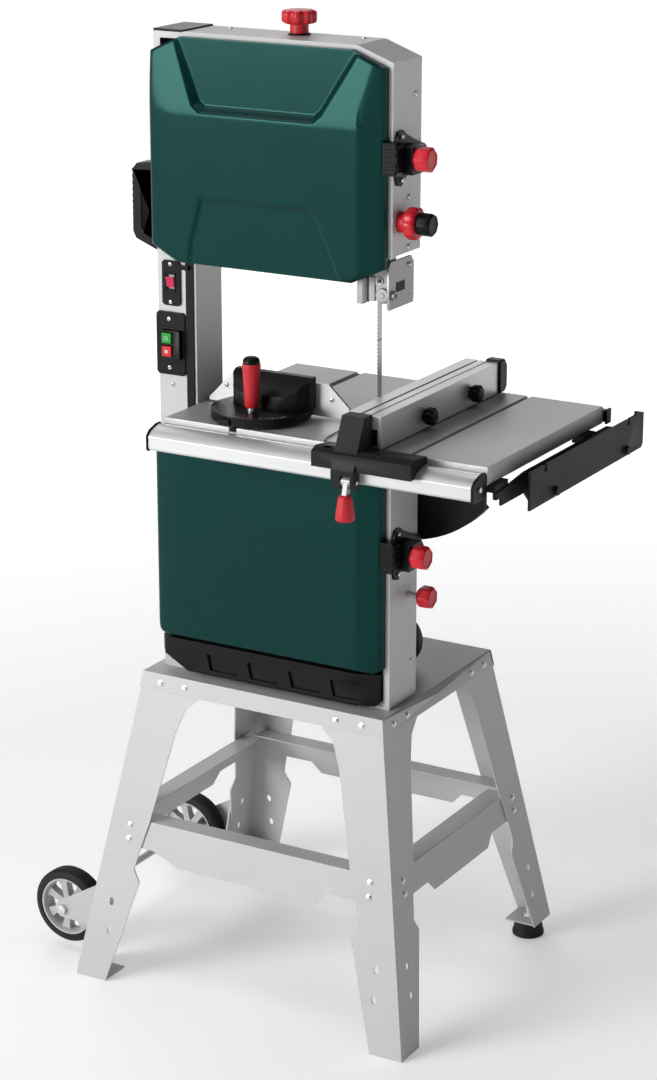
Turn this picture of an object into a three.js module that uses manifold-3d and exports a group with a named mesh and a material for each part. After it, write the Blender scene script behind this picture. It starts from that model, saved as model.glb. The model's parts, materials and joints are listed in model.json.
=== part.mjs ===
// An upright two-wheel wood band saw on a wheeled sheet-metal stand, in millimetres.
// Front (the doors) faces -Y, the throat side faces +X, up is +Z.
import * as THREE from "three";
import Module from "manifold-3d";
import { mergeVertices } from "three/addons/utils/BufferGeometryUtils.js";

const wasm = await Module();
wasm.setup();

// Placement: the drawing origin is the stand top's front right corner.
const ORIGIN_X = 204.5;
const ORIGIN_Y = -158.15;
const STAND_H = 520;

// Stand
const TOP_W = 439;
const TOP_D = 366;
const SPLAY_X = 88 / STAND_H;
const SPLAY_Y = 90 / STAND_H;
const SHEET = 2;
const LEG_SHEET = 2.5;
const SKIRT_H = 28;
const FOOT_H = 30;
const FOOT_R = 27;
const LEG_INSET = SHEET;
const LEG_EDGE = [[-28, 112], [-50, 90], [-90, 82], [-240, 73], [-290, 66.5], [-325, 64], [-345, 79]];
const LEG_TOP_W = 116;
const LEG_FOOT_W = 57.5;
const LEG_SLOTS = [[-386, 36], [-434, 43.5]];
const BRACE_TOP = -243;
const BRACE_END = -289;
const BRACE_LOW = -308;
const BRACE_LIP = 35;
const BRACE_OVER = 19;

// Transport wheels
const CASTER_X = -585;
const CASTER_Z = -439;
const CASTER_R = 64;
const CASTER_W = 36;
const CASTER_FRONT_Y = -30;
const CASTER_REAR_Y = 340;
const AXLE_R = 6;

// Body
const BODY_L = -424;
const BODY_R = -11.7;
const BODY_F = 42;
const BODY_B = 128;
const WALL = 2.5;
const COLUMN_R = -354;
const COLUMN_B = 116;
const LOWER_TOP = 392;
const UPPER_BOT = 672;
const UPPER_TOP = 1014;
const DOOR_F = 14;
const DOOR_SHELL = 3;
const HINGE_X = -430;
const HINGE_Y = 47.5;

// Band, band wheels and drive
const BAND_X = -53;
const BAND_Y = 71;
const BAND_W = 15;
const BAND_T = 0.7;
const WHEEL_R = 157.5;
const WHEEL_X = BAND_X - WHEEL_R;
const WHEEL_Y = 67;
const WHEEL_W = 22;
const UPPER_Z = 843;
const LOWER_Z = 210;
const MOTOR_X = -95;
const MOTOR_Z = 48;
const MOTOR_R = 47;
const DRIVEN_R = 60;
const DRIVER_R = 18;
const SCREW_X = -203.5;
const SCREW_Y = 101;

// Table
const TABLE_L = -350;
const TABLE_R = 200;
const TABLE_F = -56;
const TABLE_B = 336;
const TABLE_TOP = 445;
const TABLE_T = 27;
const SLOT_X = -229;
const SLOT_2_X = 74;
const TRUNNION_R = 200;
const TRUNNION_Y = 140;

const FINE = 36;
const ROUND = 18;

function solid(geometry) {
  const bare = new THREE.BufferGeometry();
  bare.setAttribute("position", geometry.getAttribute("position"));
  if (geometry.index) bare.setIndex(geometry.index);
  const merged = mergeVertices(bare, 1e-4);
  const index = merged.index.array;
  const tris = [];
  for (let i = 0; i < index.length; i += 3) {
    const [a, b, c] = [index[i], index[i + 1], index[i + 2]];
    if (a !== b && b !== c && a !== c) tris.push([a, b, c]);
  }
  const vertProperties = new Float32Array(merged.getAttribute("position").array);
  const build = (list) => new wasm.Manifold(
    new wasm.Mesh({ numProp: 3, vertProperties, triVerts: new Uint32Array(list.flat()) }),
  );
  const body = build(tris);
  if (body.volume() > 0) return body;
  return build(tris.map(([a, b, c]) => [a, c, b]));
}

// An outline pushed along an axis: y,z points along x, x,z points along y, x,y points along z.
function prismGeometry(axis, outline, from, to, holes = []) {
  const shape = new THREE.Shape(outline.map(([a, b]) => new THREE.Vector2(a, b)));
  for (const hole of holes) shape.holes.push(new THREE.Path(hole.map(([a, b]) => new THREE.Vector2(a, b))));
  const geometry = new THREE.ExtrudeGeometry(shape, { depth: to - from, bevelEnabled: false });
  const turn = new THREE.Matrix4();
  if (axis === "x") turn.set(0, 0, 1, from, 1, 0, 0, 0, 0, 1, 0, 0, 0, 0, 0, 1);
  if (axis === "y") turn.set(1, 0, 0, 0, 0, 0, -1, to, 0, 1, 0, 0, 0, 0, 0, 1);
  if (axis === "z") turn.set(1, 0, 0, 0, 0, 1, 0, 0, 0, 0, 1, from, 0, 0, 0, 1);
  return geometry.applyMatrix4(turn);
}

const prism = (axis, outline, from, to, holes) => solid(prismGeometry(axis, outline, from, to, holes));
const rect = (a0, a1, b0, b1) => [[a0, b0], [a1, b0], [a1, b1], [a0, b1]];
const box = (x0, x1, y0, y1, z0, z1) => prism("z", rect(x0, x1, y0, y1), z0, z1);

function arc(a, b, radius, fromDeg, toDeg, steps) {
  return Array.from({ length: steps + 1 }, (_, i) => {
    const t = THREE.MathUtils.degToRad(fromDeg + (toDeg - fromDeg) * i / steps);
    return [a + radius * Math.cos(t), b + radius * Math.sin(t)];
  });
}

const circle = (a, b, radius, steps = ROUND) => arc(a, b, radius, 0, 360 - 360 / steps, steps - 1);
const rod = (axis, a, b, radius, from, to, steps = ROUND) =>
  prism(axis, circle(a, b, radius, steps), from, to);

function slot(a, b, halfA, halfB, steps = 6) {
  const run = halfB - halfA;
  return [...arc(a, b + run, halfA, 0, 180, steps), ...arc(a, b - run, halfA, 180, 360, steps)];
}

// A lobed knob outline around a,b.
function lobes(a, b, radius, depth, count, steps = 4) {
  const total = count * steps;
  return Array.from({ length: total }, (_, i) => {
    const t = i * 2 * Math.PI / total;
    const r = radius - depth * (0.5 + 0.5 * Math.cos(count * t));
    return [a + r * Math.cos(t), b + r * Math.sin(t)];
  });
}

const join = (first, ...rest) => rest.reduce((all, next) => all.add(next), first);
const cut = (first, ...rest) => rest.reduce((all, next) => all.subtract(next), first);

function part(name, body, colour, roughness, metalness) {
  const data = body.getMesh();
  const geometry = new THREE.BufferGeometry();
  const positions = [];
  for (const v of data.triVerts) {
    positions.push(...data.vertProperties.slice(v * data.numProp, v * data.numProp + 3));
  }
  geometry.setAttribute("position", new THREE.BufferAttribute(new Float32Array(positions), 3));
  geometry.computeVertexNormals();
  const material = new THREE.MeshStandardMaterial({ color: colour, roughness, metalness });
  const mesh = new THREE.Mesh(geometry, material);
  mesh.name = name;
  return mesh;
}

const GREEN = 0x17524a;
const GREY = 0xc4c5c6;
const STEEL = 0x9a9b9c;
const BLACK = 0x17181a;
const RED = 0xc8202e;
const RUBBER = 0x111111;
const ALLOY = 0xd6d7d8;
const IRON = 0x9c9ea0;
const painted = (name, body) => part(name, body, GREY, 0.45, 0.3);
const plastic = (name, body, colour = BLACK) => part(name, body, colour, 0.5, 0);
const metal = (name, body, colour = STEEL) => part(name, body, colour, 0.4, 0.8);

const leanX = new THREE.Matrix4().set(1, 0, -SPLAY_X, 0, 0, 1, 0, 0, 0, 0, 1, 0, 0, 0, 0, 1);
const leanY = new THREE.Matrix4().set(1, 0, 0, 0, 0, 1, -SPLAY_Y, 0, 0, 0, 1, 0, 0, 0, 0, 1);

// Corner frame: first axis outward in X, second outward in Y, both zero on the stand top's corner.
function corner(sideX, sideY) {
  const x = sideX > 0 ? 0 : -TOP_W;
  const y = sideY > 0 ? TOP_D : 0;
  return new THREE.Matrix4().set(sideX, 0, 0, x, 0, sideY, 0, y, 0, 0, 1, 0, 0, 0, 0, 1);
}

function trayBody() {
  const out = (s) => SKIRT_H * s;
  const front = [[-TOP_W, 0], [0, 0], [out(SPLAY_X), -SKIRT_H], [-TOP_W - out(SPLAY_X), -SKIRT_H]];
  const side = [[0, 0], [TOP_D, 0], [TOP_D + out(SPLAY_Y), -SKIRT_H], [-out(SPLAY_Y), -SKIRT_H]];
  const tip = (m, g) => solid(g.applyMatrix4(m));
  const mirrorY = new THREE.Matrix4().makeTranslation(0, TOP_D, 0).scale(new THREE.Vector3(1, -1, 1));
  const mirrorX = new THREE.Matrix4().makeTranslation(-TOP_W, 0, 0).scale(new THREE.Vector3(-1, 1, 1));
  const backLean = new THREE.Matrix4().set(1, 0, 0, 0, 0, 1, SPLAY_Y, 0, 0, 0, 1, 0, 0, 0, 0, 1);
  const faceFront = () => prismGeometry("y", front, 0, SHEET).applyMatrix4(backLean);
  const faceRight = () => prismGeometry("x", side, -SHEET, 0).applyMatrix4(leanX);
  return join(
    box(-TOP_W, 0, 0, TOP_D, -SHEET, 0),
    solid(faceFront()),
    tip(mirrorY, faceFront()),
    solid(faceRight()),
    tip(mirrorX, faceRight()),
  );
}

function legBody(sideX, sideY, foot) {
  const at = (z, splay) => -z * splay - LEG_INSET;
  const flange = (splay) => [
    [at(-SHEET - 0.3, splay), -SHEET - 0.3],
    [at(-STAND_H, splay), -STAND_H],
    [at(-STAND_H, splay) - LEG_FOOT_W, -STAND_H],
    ...[...LEG_EDGE].reverse().map(([z, w]) => [at(z, splay) - w, z]),
    [at(-SHEET - 0.3, splay) - LEG_TOP_W, -SHEET - 0.3],
  ];
  const holes = (splay) => LEG_SLOTS.map(([z, w]) => slot(at(z, splay) - w, z, 4, 6.5, 4));
  const alongX = prismGeometry("y", flange(SPLAY_X), -LEG_INSET - LEG_SHEET, -LEG_INSET, holes(SPLAY_X));
  const alongY = prismGeometry("x", flange(SPLAY_Y), -LEG_INSET - LEG_SHEET, -LEG_INSET, holes(SPLAY_Y));
  const place = corner(sideX, sideY);
  const low = -STAND_H + foot;
  const outX = at(low, SPLAY_X);
  const outY = at(low, SPLAY_Y);
  const plate = prismGeometry("z", rect(outX - LEG_FOOT_W, outX - 1, outY - LEG_FOOT_W, outY - 1), low, low + LEG_SHEET);
  const below = prismGeometry("z", rect(-300, 300, -300, 300), -STAND_H - 20, low);
  return cut(
    join(
      solid(alongX.applyMatrix4(leanY).applyMatrix4(place)),
      solid(alongY.applyMatrix4(leanX).applyMatrix4(place)),
      solid(plate.applyMatrix4(place)),
    ),
    solid(below.applyMatrix4(place)),
  );
}

// A folded brace along a side of length run; nearA and nearB are where its lower edge steps up.
function braceBody(run, nearA, slopeA, place, splay, lipTrim) {
  const nearB = 72.5;
  const slopeB = 18.5;
  const face = [
    [BRACE_OVER, BRACE_TOP],
    [BRACE_OVER, BRACE_END],
    [-nearB, BRACE_END],
    [-nearB - slopeB, BRACE_LOW],
    [-run + nearA + slopeA, BRACE_LOW],
    [-run + nearA, BRACE_END],
    [-run - BRACE_OVER, BRACE_END],
    [-run - BRACE_OVER, BRACE_TOP],
  ];
  const outer = -LEG_INSET - LEG_SHEET - 0.3;
  const lean = new THREE.Matrix4().set(1, 0, 0, 0, 0, 1, -splay, 0, 0, 0, 1, 0, 0, 0, 0, 1);
  const web = prismGeometry("y", face, outer - SHEET, outer).applyMatrix4(lean);
  const q = -BRACE_TOP * splay + outer;
  const lip = prismGeometry(
    "z", rect(-run - BRACE_OVER + lipTrim, BRACE_OVER - lipTrim, q - BRACE_LIP, q - 1), BRACE_TOP - SHEET, BRACE_TOP,
  );
  return join(solid(web.applyMatrix4(place)), solid(lip.applyMatrix4(place)));
}

function sideFrame(sideX) {
  const x = sideX > 0 ? 0 : -TOP_W;
  return new THREE.Matrix4().set(0, sideX, 0, x, -1, 0, 0, 0, 0, 0, 1, 0, 0, 0, 0, 1);
}

function footBody(sideX) {
  const x = sideX > 0 ? 53 : -TOP_W - 53;
  const profile = [[0, 0], [FOOT_R, 0], [FOOT_R, 8], [FOOT_R - 4, FOOT_H - 4], [FOOT_R - 6, FOOT_H], [0, FOOT_H]];
  return turned("z", profile, x, TOP_D + 55, -STAND_H);
}

// A turned part: radius,height points about an axis through a,b (the two other coordinates).
function turned(axis, profile, a, b, start, steps = ROUND) {
  const points = profile.map(([r, h]) => new THREE.Vector2(r, h + start));
  const geometry = new THREE.LatheGeometry(points, steps);
  const turn = new THREE.Matrix4();
  if (axis === "x") turn.set(0, 1, 0, 0, 1, 0, 0, a, 0, 0, -1, b, 0, 0, 0, 1);
  if (axis === "y") turn.set(1, 0, 0, a, 0, 1, 0, 0, 0, 0, 1, b, 0, 0, 0, 1);
  if (axis === "z") turn.set(1, 0, 0, a, 0, 0, -1, b, 0, 1, 0, 0, 0, 0, 0, 1);
  return solid(geometry.applyMatrix4(turn));
}

function casterBody(y0) {
  const hub = 13;
  const rim = 51;
  const mid = y0 + CASTER_W / 2;
  const tyre = prism("y", circle(CASTER_X, CASTER_Z, CASTER_R, FINE), y0, y0 + CASTER_W,
    [circle(CASTER_X, CASTER_Z, rim, FINE)]);
  const crown = turned("y", [
    [0, 0], [CASTER_R - 5, 0], [CASTER_R, 6], [CASTER_R, CASTER_W - 6], [CASTER_R - 5, CASTER_W], [0, CASTER_W],
  ], CASTER_X, CASTER_Z, y0, FINE);
  const windows = Array.from({ length: 7 }, (_, i) => {
    const turn = 12 + i * 360 / 7;
    return [
      ...arc(CASTER_X, CASTER_Z, 46, turn, turn + 27, 3),
      ...arc(CASTER_X, CASTER_Z, 18, turn + 22, turn + 5, 2),
    ];
  });
  const web = prism("y", circle(CASTER_X, CASTER_Z, rim + 1, FINE), mid - 9, mid + 9, windows);
  const boss = rod("y", CASTER_X, CASTER_Z, hub, y0 + 1, y0 + CASTER_W - 1);
  const lip = prism("y", circle(CASTER_X, CASTER_Z, rim + 1, FINE), y0 + 2, y0 + CASTER_W - 2,
    [circle(CASTER_X, CASTER_Z, rim - 4, FINE)]);
  return cut(join(tyre.intersect(crown), web, boss, lip), rod("y", CASTER_X, CASTER_Z, AXLE_R + 0.3, y0 - 1, y0 + 50));
}

function axleBody() {
  const faceX = (z) => -TOP_W + z * SPLAY_X + LEG_INSET - 0.3;
  const outline = [
    ...arc(CASTER_X, CASTER_Z, 15, 118, 262, 8),
    [faceX(-457), -457],
    [faceX(-371), -371],
  ];
  const plates = [[CASTER_FRONT_Y - 4, -1], [CASTER_REAR_Y + CASTER_W + 4, 1]].map(([y, way]) => {
    const web = prism("y", outline, Math.min(y, y + way * 3), Math.max(y, y + way * 3));
    const tab = [[faceX(-371), -371], [faceX(-457), -457], [faceX(-457) - 3, -457], [faceX(-371) - 3, -371]];
    const inner = way < 0 ? [y - 1, y + 22] : [y - 22, y + 1];
    return join(web, prism("y", tab, inner[0], inner[1]));
  });
  const head = (y) => rod("y", CASTER_X, CASTER_Z, 9, y, y + 6, 6);
  return join(
    rod("y", CASTER_X, CASTER_Z, AXLE_R, CASTER_FRONT_Y - 10, CASTER_REAR_Y + CASTER_W + 10),
    ...plates,
    head(CASTER_FRONT_Y - 13),
    head(CASTER_REAR_Y + CASTER_W + 7),
  );
}

function lowerHousing() {
  const outer = [[BODY_L, 0], [BODY_R, 0], [BODY_R, 362], [-42, LOWER_TOP], [BODY_L, LOWER_TOP]];
  const inner = [[-421.5, WALL], [-14.2, WALL], [-14.2, 361], [-43, 389.5], [-421.5, 389.5]];
  const mouth = [[-412, 12], [-22, 12], [-22, 357], [-48, 381], [-412, 381]];
  return cut(
    join(
      cut(prism("y", outer, BODY_F, BODY_B), prism("y", inner, BODY_F + WALL, BODY_B - WALL)),
      rod("y", WHEEL_X, LOWER_Z, 24, 113, BODY_B - 1),
    ),
    prism("y", mouth, BODY_F - 1, BODY_F + 4),
    box(-68, -38, 58, 98, 385, 400),
    box(-421.5, -357, 44.5, 113.5, 385, 400),
    rod("y", MOTOR_X, MOTOR_Z, 11, BODY_B - 4, BODY_B + 2),
    rod("y", WHEEL_X, LOWER_Z, 10.3, 112, BODY_B + 1),
    rod("x", 102, 172, 5.3, BODY_R - 4, BODY_R + 1),
  );
}

function columnBody() {
  return cut(
    box(BODY_L, COLUMN_R, BODY_F, COLUMN_B, LOWER_TOP, UPPER_BOT),
    box(BODY_L + WALL, COLUMN_R - WALL, BODY_F + WALL, COLUMN_B - WALL, LOWER_TOP - 1, UPPER_BOT + 1),
    box(-367, -362, BODY_F - 1, BODY_F + 4, LOWER_TOP + 20, UPPER_BOT - 20),
  );
}

function upperHousing() {
  const outer = [
    [BODY_L, UPPER_BOT], [-96, UPPER_BOT], [BODY_R, 709], [BODY_R, 992], [-72, UPPER_TOP], [BODY_L, UPPER_TOP],
  ];
  const inner = [[-421.5, 674.5], [-96.5, 674.5], [-14.2, 710.7], [-14.2, 990.3], [-72.5, 1011.5], [-421.5, 1011.5]];
  const mouth = [[-412, 684], [-100, 684], [-24, 718], [-24, 984], [-76, 1003], [-412, 1003]];
  return cut(
    cut(prism("y", outer, BODY_F, BODY_B), prism("y", inner, BODY_F + WALL, BODY_B - WALL)),
    prism("y", mouth, BODY_F - 1, BODY_F + 4),
    box(-421.5, -356.5, 44.5, 113.5, 665, 680),
    box(-84, -17, 52, 118, 665, 715),
    box(BODY_L - 1, -371, BODY_F - 1, BODY_B + 1, UPPER_TOP - 1.2, UPPER_TOP + 1),
    rod("x", 66, 758, 7.3, BODY_R - 4, BODY_R + 1),
    rod("z", SCREW_X, SCREW_Y, 8, UPPER_TOP - 4, UPPER_TOP + 1),
  );
}

// A pressed door: front outline, inner outline, height range, dished panels, hinge knuckle heights, and top edge profile.
function doorBody(outline, innerOutline, low, high, dishes, knuckles, crown, innerCrown) {
  const section = [
    [-421.5, BODY_F], [-421.5, 25], [-411, DOOR_F], [-58, DOOR_F], [-24, 28], [-18.7, 36], [-18.7, BODY_F],
  ];
  const inside = [[-418.5, 60], [-418.5, 26.5], [-409.6, 17], [-59, 17], [-26, 30.5], [-21.7, 37], [-21.7, 60]];
  const edge = [[BODY_F, low], [24, low], [DOOR_F, low + 7], ...crown, [BODY_F, high]];
  const deep = [[60, low + 3], [25.5, low + 3], [17, low + 9], ...innerCrown, [60, high - 3]];
  let pressed = prism("z", section, low, high)
    .intersect(prism("y", outline, 0, 60))
    .intersect(prism("x", edge, BODY_L, 0));
  let room = prism("z", inside, low, high)
    .intersect(prism("y", innerOutline, 0, 70))
    .intersect(prism("x", deep, BODY_L, 0));
  for (const dish of dishes) {
    pressed = cut(pressed, prism("y", dish.outline, 0, DOOR_F + dish.depth));
    room = cut(room, prism("y", dish.wider, 0, DOOR_F + dish.depth + DOOR_SHELL));
  }
  const ears = knuckles.map((z) => join(
    rod("z", HINGE_X, HINGE_Y, 4.5, z, z + 22, 16),
    box(-434.5, -428, 39, HINGE_Y, z, z + 22),
    box(-434.5, -420, 39, 41.8, z, z + 22),
  ));
  return join(cut(pressed, room), ...ears);
}

function upperDoor() {
  const outline = [
    [-421.5, 693], [-372, 668], [-70, 668], [-18.7, 692], [-18.7, 985], [-76, 1008], [-370, 1008], [-421.5, 985],
  ];
  const innerOutline = [
    [-418.5, 695], [-371.5, 671], [-70.5, 671], [-21.7, 694], [-21.7, 983], [-76.5, 1005], [-370.5, 1005], [-418.5, 983],
  ];
  const panel = { outline: [[-358, 1020], [-332, 910], [-322, 904], [-136, 904], [-126, 913], [-72, 1020]], depth: 12 };
  panel.wider = [[-362, 1020], [-335, 909], [-323, 901], [-134, 901], [-123, 911], [-68, 1020]];
  const foot = { outline: [[-345, 650], [-345, 700], [-325, 768], [-142, 768], [-128, 761], [-78, 650]], depth: 4 };
  foot.wider = [[-349, 650], [-349, 700], [-327, 771], [-141, 771], [-125, 763], [-74, 650]];
  const crown = [[DOOR_F, 893], [30, 1004], [34, 1008]];
  return doorBody(outline, innerOutline, 668, 1008, [panel, foot], [722, 922], crown, [[17, 892], [33, 1004], [34, 1005]]);
}

function lowerDoor() {
  const outline = [[-421.5, 78], [-417, 67], [-406, 62], [-18.7, 62], [-18.7, 366], [-44, 390], [-421.5, 390]];
  const innerOutline = [[-418.5, 79], [-414.5, 69.5], [-405.5, 65], [-21.7, 65], [-21.7, 365], [-45, 387], [-418.5, 387]];
  const crown = [[DOOR_F, 385], [20, 390]];
  return doorBody(outline, innerOutline, 62, 390, [], [102, 302], crown, [[17, 383], [21.5, 387]]);
}

const catchBody = (z) => cut(
  prism("y", [[-20, z - 24], [2, z - 24], [6, z - 20], [6, z + 20], [2, z + 24], [-20, z + 24]], 20, 43.5),
  prism("y", rect(-21, -18.5, z - 30, z + 30), 35.8, 44),
  box(-21, -10, 41.9, 44, z - 30, z + 30),
);

// A door with its catch block standing on the right edge.
function doorWithCatch(door, z) {
  return join(door, catchBody(z));
}

function hingePin(zLow) {
  return join(
    rod("z", HINGE_X, HINGE_Y, 4.5, zLow, zLow + 21.5, 16),
    box(-431, BODY_L, HINGE_Y - 1, HINGE_Y + 1.5, zLow, zLow + 21.5),
    box(-426, BODY_L, HINGE_Y - 1, 59, zLow, zLow + 21.5),
  );
}

function latchBracket(z) {
  const flange = [
    [46, z + 30], [52, z + 40], [66, z + 41], [78, z + 33], [104, z + 22], [134, z + 12], [134, z - 12],
    [96, z - 20], [72, z - 31], [62, z - 41], [50, z - 38], [46, z - 28],
  ];
  const outline = [[45.5, z + 20], [86, z + 20], [92, z + 12], [92, z - 14], [86, z - 20], [45.5, z - 20]];
  return cut(
    join(prism("x", flange, BODY_R, BODY_R + 4), prism("x", outline, BODY_R + 3, 19)),
    rod("x", 56, z + 3, 4.3, 6, 20),
    rod("x", 60, z + 32, 2.6, BODY_R - 1, BODY_R + 6, 12),
    rod("x", 61, z - 31, 2.6, BODY_R - 1, BODY_R + 6, 12),
  );
}

// A lobed knob on a spindle pointing along +X.
function sideKnob(y, z, from, to, radius, spindleFrom, spindleR) {
  const grip = prism("x", lobes(y, z, radius, 2.2, 7), from, to);
  const crown = turned("x", [
    [0, 0], [radius - 5, 0], [radius, 6], [radius, to - from - 3], [radius - 3, to - from], [0, to - from],
  ], y, z, from);
  return join(grip.intersect(crown), rod("x", y, z, spindleR, spindleFrom, from + 3, 16));
}

function tensionKnob() {
  const z0 = UPPER_TOP + 16;
  const high = 21;
  const grip = prism("z", lobes(SCREW_X, SCREW_Y, 26.5, 2.6, 8, 5), z0, z0 + high);
  const crown = turned("z", [
    [0, 0], [24, 0], [26.5, 3], [26.5, high - 4], [23, high], [0, high],
  ], SCREW_X, SCREW_Y, z0, 24);
  return join(
    grip.intersect(crown),
    rod("z", SCREW_X, SCREW_Y, 14, UPPER_TOP + 3, z0 + 2),
    rod("z", SCREW_X, SCREW_Y, 17, UPPER_TOP + 0.3, UPPER_TOP + 3.5),
    rod("z", SCREW_X, SCREW_Y, 6, UPPER_Z + 24.3, UPPER_TOP + 2, 16),
  );
}

// The slide block that carries the upper wheel's fixed spindle.
function carriageBody() {
  return cut(
    join(
      box(SCREW_X - 27, SCREW_X + 23, 92, 125.2, UPPER_Z - 36, UPPER_Z + 46),
      rod("y", WHEEL_X, UPPER_Z, 9, 60, 93),
      rod("y", WHEEL_X, UPPER_Z, 13, 57, 61),
    ),
    rod("z", SCREW_X, SCREW_Y, 6.3, UPPER_Z + 24, UPPER_Z + 50, 16),
  );
}

function bandWheel(z, shaft) {
  const y1 = WHEEL_Y + WHEEL_W;
  const crown = turned("y", [
    [0, 0], [WHEEL_R - 1, 0], [WHEEL_R - 0.3, 5], [WHEEL_R - 0.3, WHEEL_W - 5], [WHEEL_R - 1, WHEEL_W], [0, WHEEL_W],
  ], WHEEL_X, z, WHEEL_Y, FINE);
  const windows = Array.from({ length: 5 }, (_, i) => {
    const turn = 18 + i * 72;
    return [...arc(WHEEL_X, z, 128, turn, turn + 44, 4), ...arc(WHEEL_X, z, 48, turn + 36, turn + 8, 2)];
  });
  const dish = prism("y", circle(WHEEL_X, z, 140, FINE), WHEEL_Y - 1, WHEEL_Y + 7, [circle(WHEEL_X, z, 27)]);
  const back = prism("y", circle(WHEEL_X, z, 140, FINE), y1 - 7, y1 + 1, [circle(WHEEL_X, z, shaft ? 62 : 27)]);
  let wheel = cut(crown, dish, back, ...windows.map((w) => prism("y", w, WHEEL_Y, y1)));
  if (!shaft) return cut(wheel, rod("y", WHEEL_X, z, 9.3, WHEEL_Y - 1, y1 + 1));
  const pulley = turned("y", [
    [0, 0], [DRIVEN_R + 3, 0], [DRIVEN_R + 3, 2], [DRIVEN_R, 2], [DRIVEN_R, 14], [DRIVEN_R + 3, 14], [DRIVEN_R + 3, 16], [0, 16],
  ], WHEEL_X, z, y1 - 0.5, FINE);
  wheel = join(wheel, pulley, rod("y", WHEEL_X, z, 10, WHEEL_Y - 6, BODY_B - 2));
  return join(wheel, rod("y", WHEEL_X, z, 13, WHEEL_Y - 8, WHEEL_Y - 2));
}

// A loop of thickness t around two wheels, given the outer outline of each radius.
function loopOutline(x1, z1, r1, x2, z2, r2, steps) {
  const lean = THREE.MathUtils.radToDeg(Math.atan2(z2 - z1, x2 - x1));
  const open = THREE.MathUtils.radToDeg(Math.acos((r1 - r2) / Math.hypot(x2 - x1, z2 - z1)));
  return [
    ...arc(x1, z1, r1, lean + open, lean + 360 - open, steps),
    ...arc(x2, z2, r2, lean - open, lean + open, steps),
  ];
}

function bandBody() {
  const loop = (r) => loopOutline(WHEEL_X, LOWER_Z, r, WHEEL_X, UPPER_Z, r, FINE);
  return prism("y", loop(WHEEL_R + BAND_T), BAND_Y, BAND_Y + BAND_W, [loop(WHEEL_R + 0.02)]);
}

function beltBody() {
  const loop = (t) => loopOutline(WHEEL_X, LOWER_Z, DRIVEN_R + t, MOTOR_X, MOTOR_Z, DRIVER_R + t, 20);
  return prism("y", loop(3), 91.5, 101.5, [loop(0.3)]);
}

function pulleyBody() {
  return cut(
    turned("y", [
      [0, 0], [DRIVER_R + 4, 0], [DRIVER_R + 4, 2], [DRIVER_R, 2], [DRIVER_R, 14], [DRIVER_R + 4, 14], [DRIVER_R + 4, 16], [0, 16],
    ], MOTOR_X, MOTOR_Z, 88.5),
    rod("y", MOTOR_X, MOTOR_Z, 7.3, 80, 110, 16),
  );
}

function motorBody() {
  const shell = turned("y", [
    [0, 0], [MOTOR_R, 0], [MOTOR_R, 78], [MOTOR_R - 3, 82], [MOTOR_R - 3, 98], [MOTOR_R - 12, 106], [0, 106],
  ], MOTOR_X, MOTOR_Z, BODY_B, 28);
  return join(
    shell,
    rod("y", MOTOR_X, MOTOR_Z, 7, 86, BODY_B + 3, 16),
    rod("y", MOTOR_X, MOTOR_Z, 10, BODY_B - 4, BODY_B + 3, 16),
    box(MOTOR_X - 34, MOTOR_X + 34, 150, 212, 0, 22),
    box(MOTOR_X - 30, MOTOR_X + 30, 152, 208, MOTOR_Z + 30, MOTOR_Z + 64),
  );
}

function skirtBody() {
  const section = [[-417, BODY_F], [-417, 30], [-408, 20], [-60, 20], [-24, 34], [-24, BODY_F]];
  const outline = [[-417, 58], [-417, 34], [-366, 6], [-30, 6], [-24, 14], [-24, 58]];
  const ribs = [-330, -255, -180, -105].map((x) => prism("y", [[x, 40], [x + 6, 14], [x + 56, 14], [x + 62, 40]], 15, 25));
  return cut(prism("z", section, 0, 60).intersect(prism("y", outline, 0, 60)), ...ribs);
}

function handleBody() {
  const outline = [[BODY_L, 812], [-472, 806], [-480, 796], [-481, 700], [-475, 688], [BODY_L, 668]];
  const grip = [[BODY_L + 1, 796], [-458, 793], [-464, 786], [-464, 706], [-459, 699], [BODY_L + 1, 684]];
  return join(
    prism("y", outline, 60, 92, []).subtract(prism("y", grip, 58, 94)),
    box(-429, BODY_L, 60, 92, 680, 800),
  );
}

function ringBody() {
  const grip = prism("x", lobes(66, 758, 24.5, 2, 12, 3), -11.4, 20);
  const crown = turned("x", [
    [0, 0], [16, 0], [16, 13.4], [22.5, 14.4], [24.5, 17], [24.5, 28], [21, 31.4], [0, 31.4],
  ], 66, 758, -11.4);
  return cut(grip.intersect(crown), rod("x", 66, 758, 8.3, -20, 30));
}

function heightKnob() {
  const grip = prism("x", lobes(66, 758, 17.5, 1.6, 6), 20.4, 44);
  const crown = turned("x", [[0, 0], [17.5, 0], [17.5, 20], [15, 23.6], [0, 23.6]], 66, 758, 20.4);
  return join(grip.intersect(crown), rod("x", 66, 758, 7, -18.5, 21, 16));
}

function postBody() {
  return box(-43, -23, 56, 76, 690, 988);
}

// The saw guide: a bracket on the post with a cheek plate, side bearings and the back rest.
function guideBody() {
  const cheek = [[45, 628], [118, 628], [120, 634], [120, 690], [112, 700], [49, 700], [43, 692], [43, 634]];
  return cut(
    join(
      prism("x", cheek, -21, -17.5),
      box(-43, -20, 50, 84, 672, 690),
      box(-43, -20, 50, 56, 640, 680),
      box(-40, -20, 96, 112, 640, 672),
      rod("x", 104, 652, 8, -58, -20, 16),
      rod("y", -37, 650, 13, 58, 74, 20),
      rod("y", -37, 650, 5, 52, 60, 12),
      box(-43, -20, 74, 96, 664, 672),
      box(-72, -36, 88, 98, 632, 668),
      box(-76, -66, 50, 96, 632, 664),
      rod("y", -68, 648, 12, 58, 74, 20),
    ),
    box(-53.8, -52.1, 60, 87.5, 620, 680),
    rod("x", 100, 690, 2.6, -25, -15, 12),
  );
}

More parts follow.
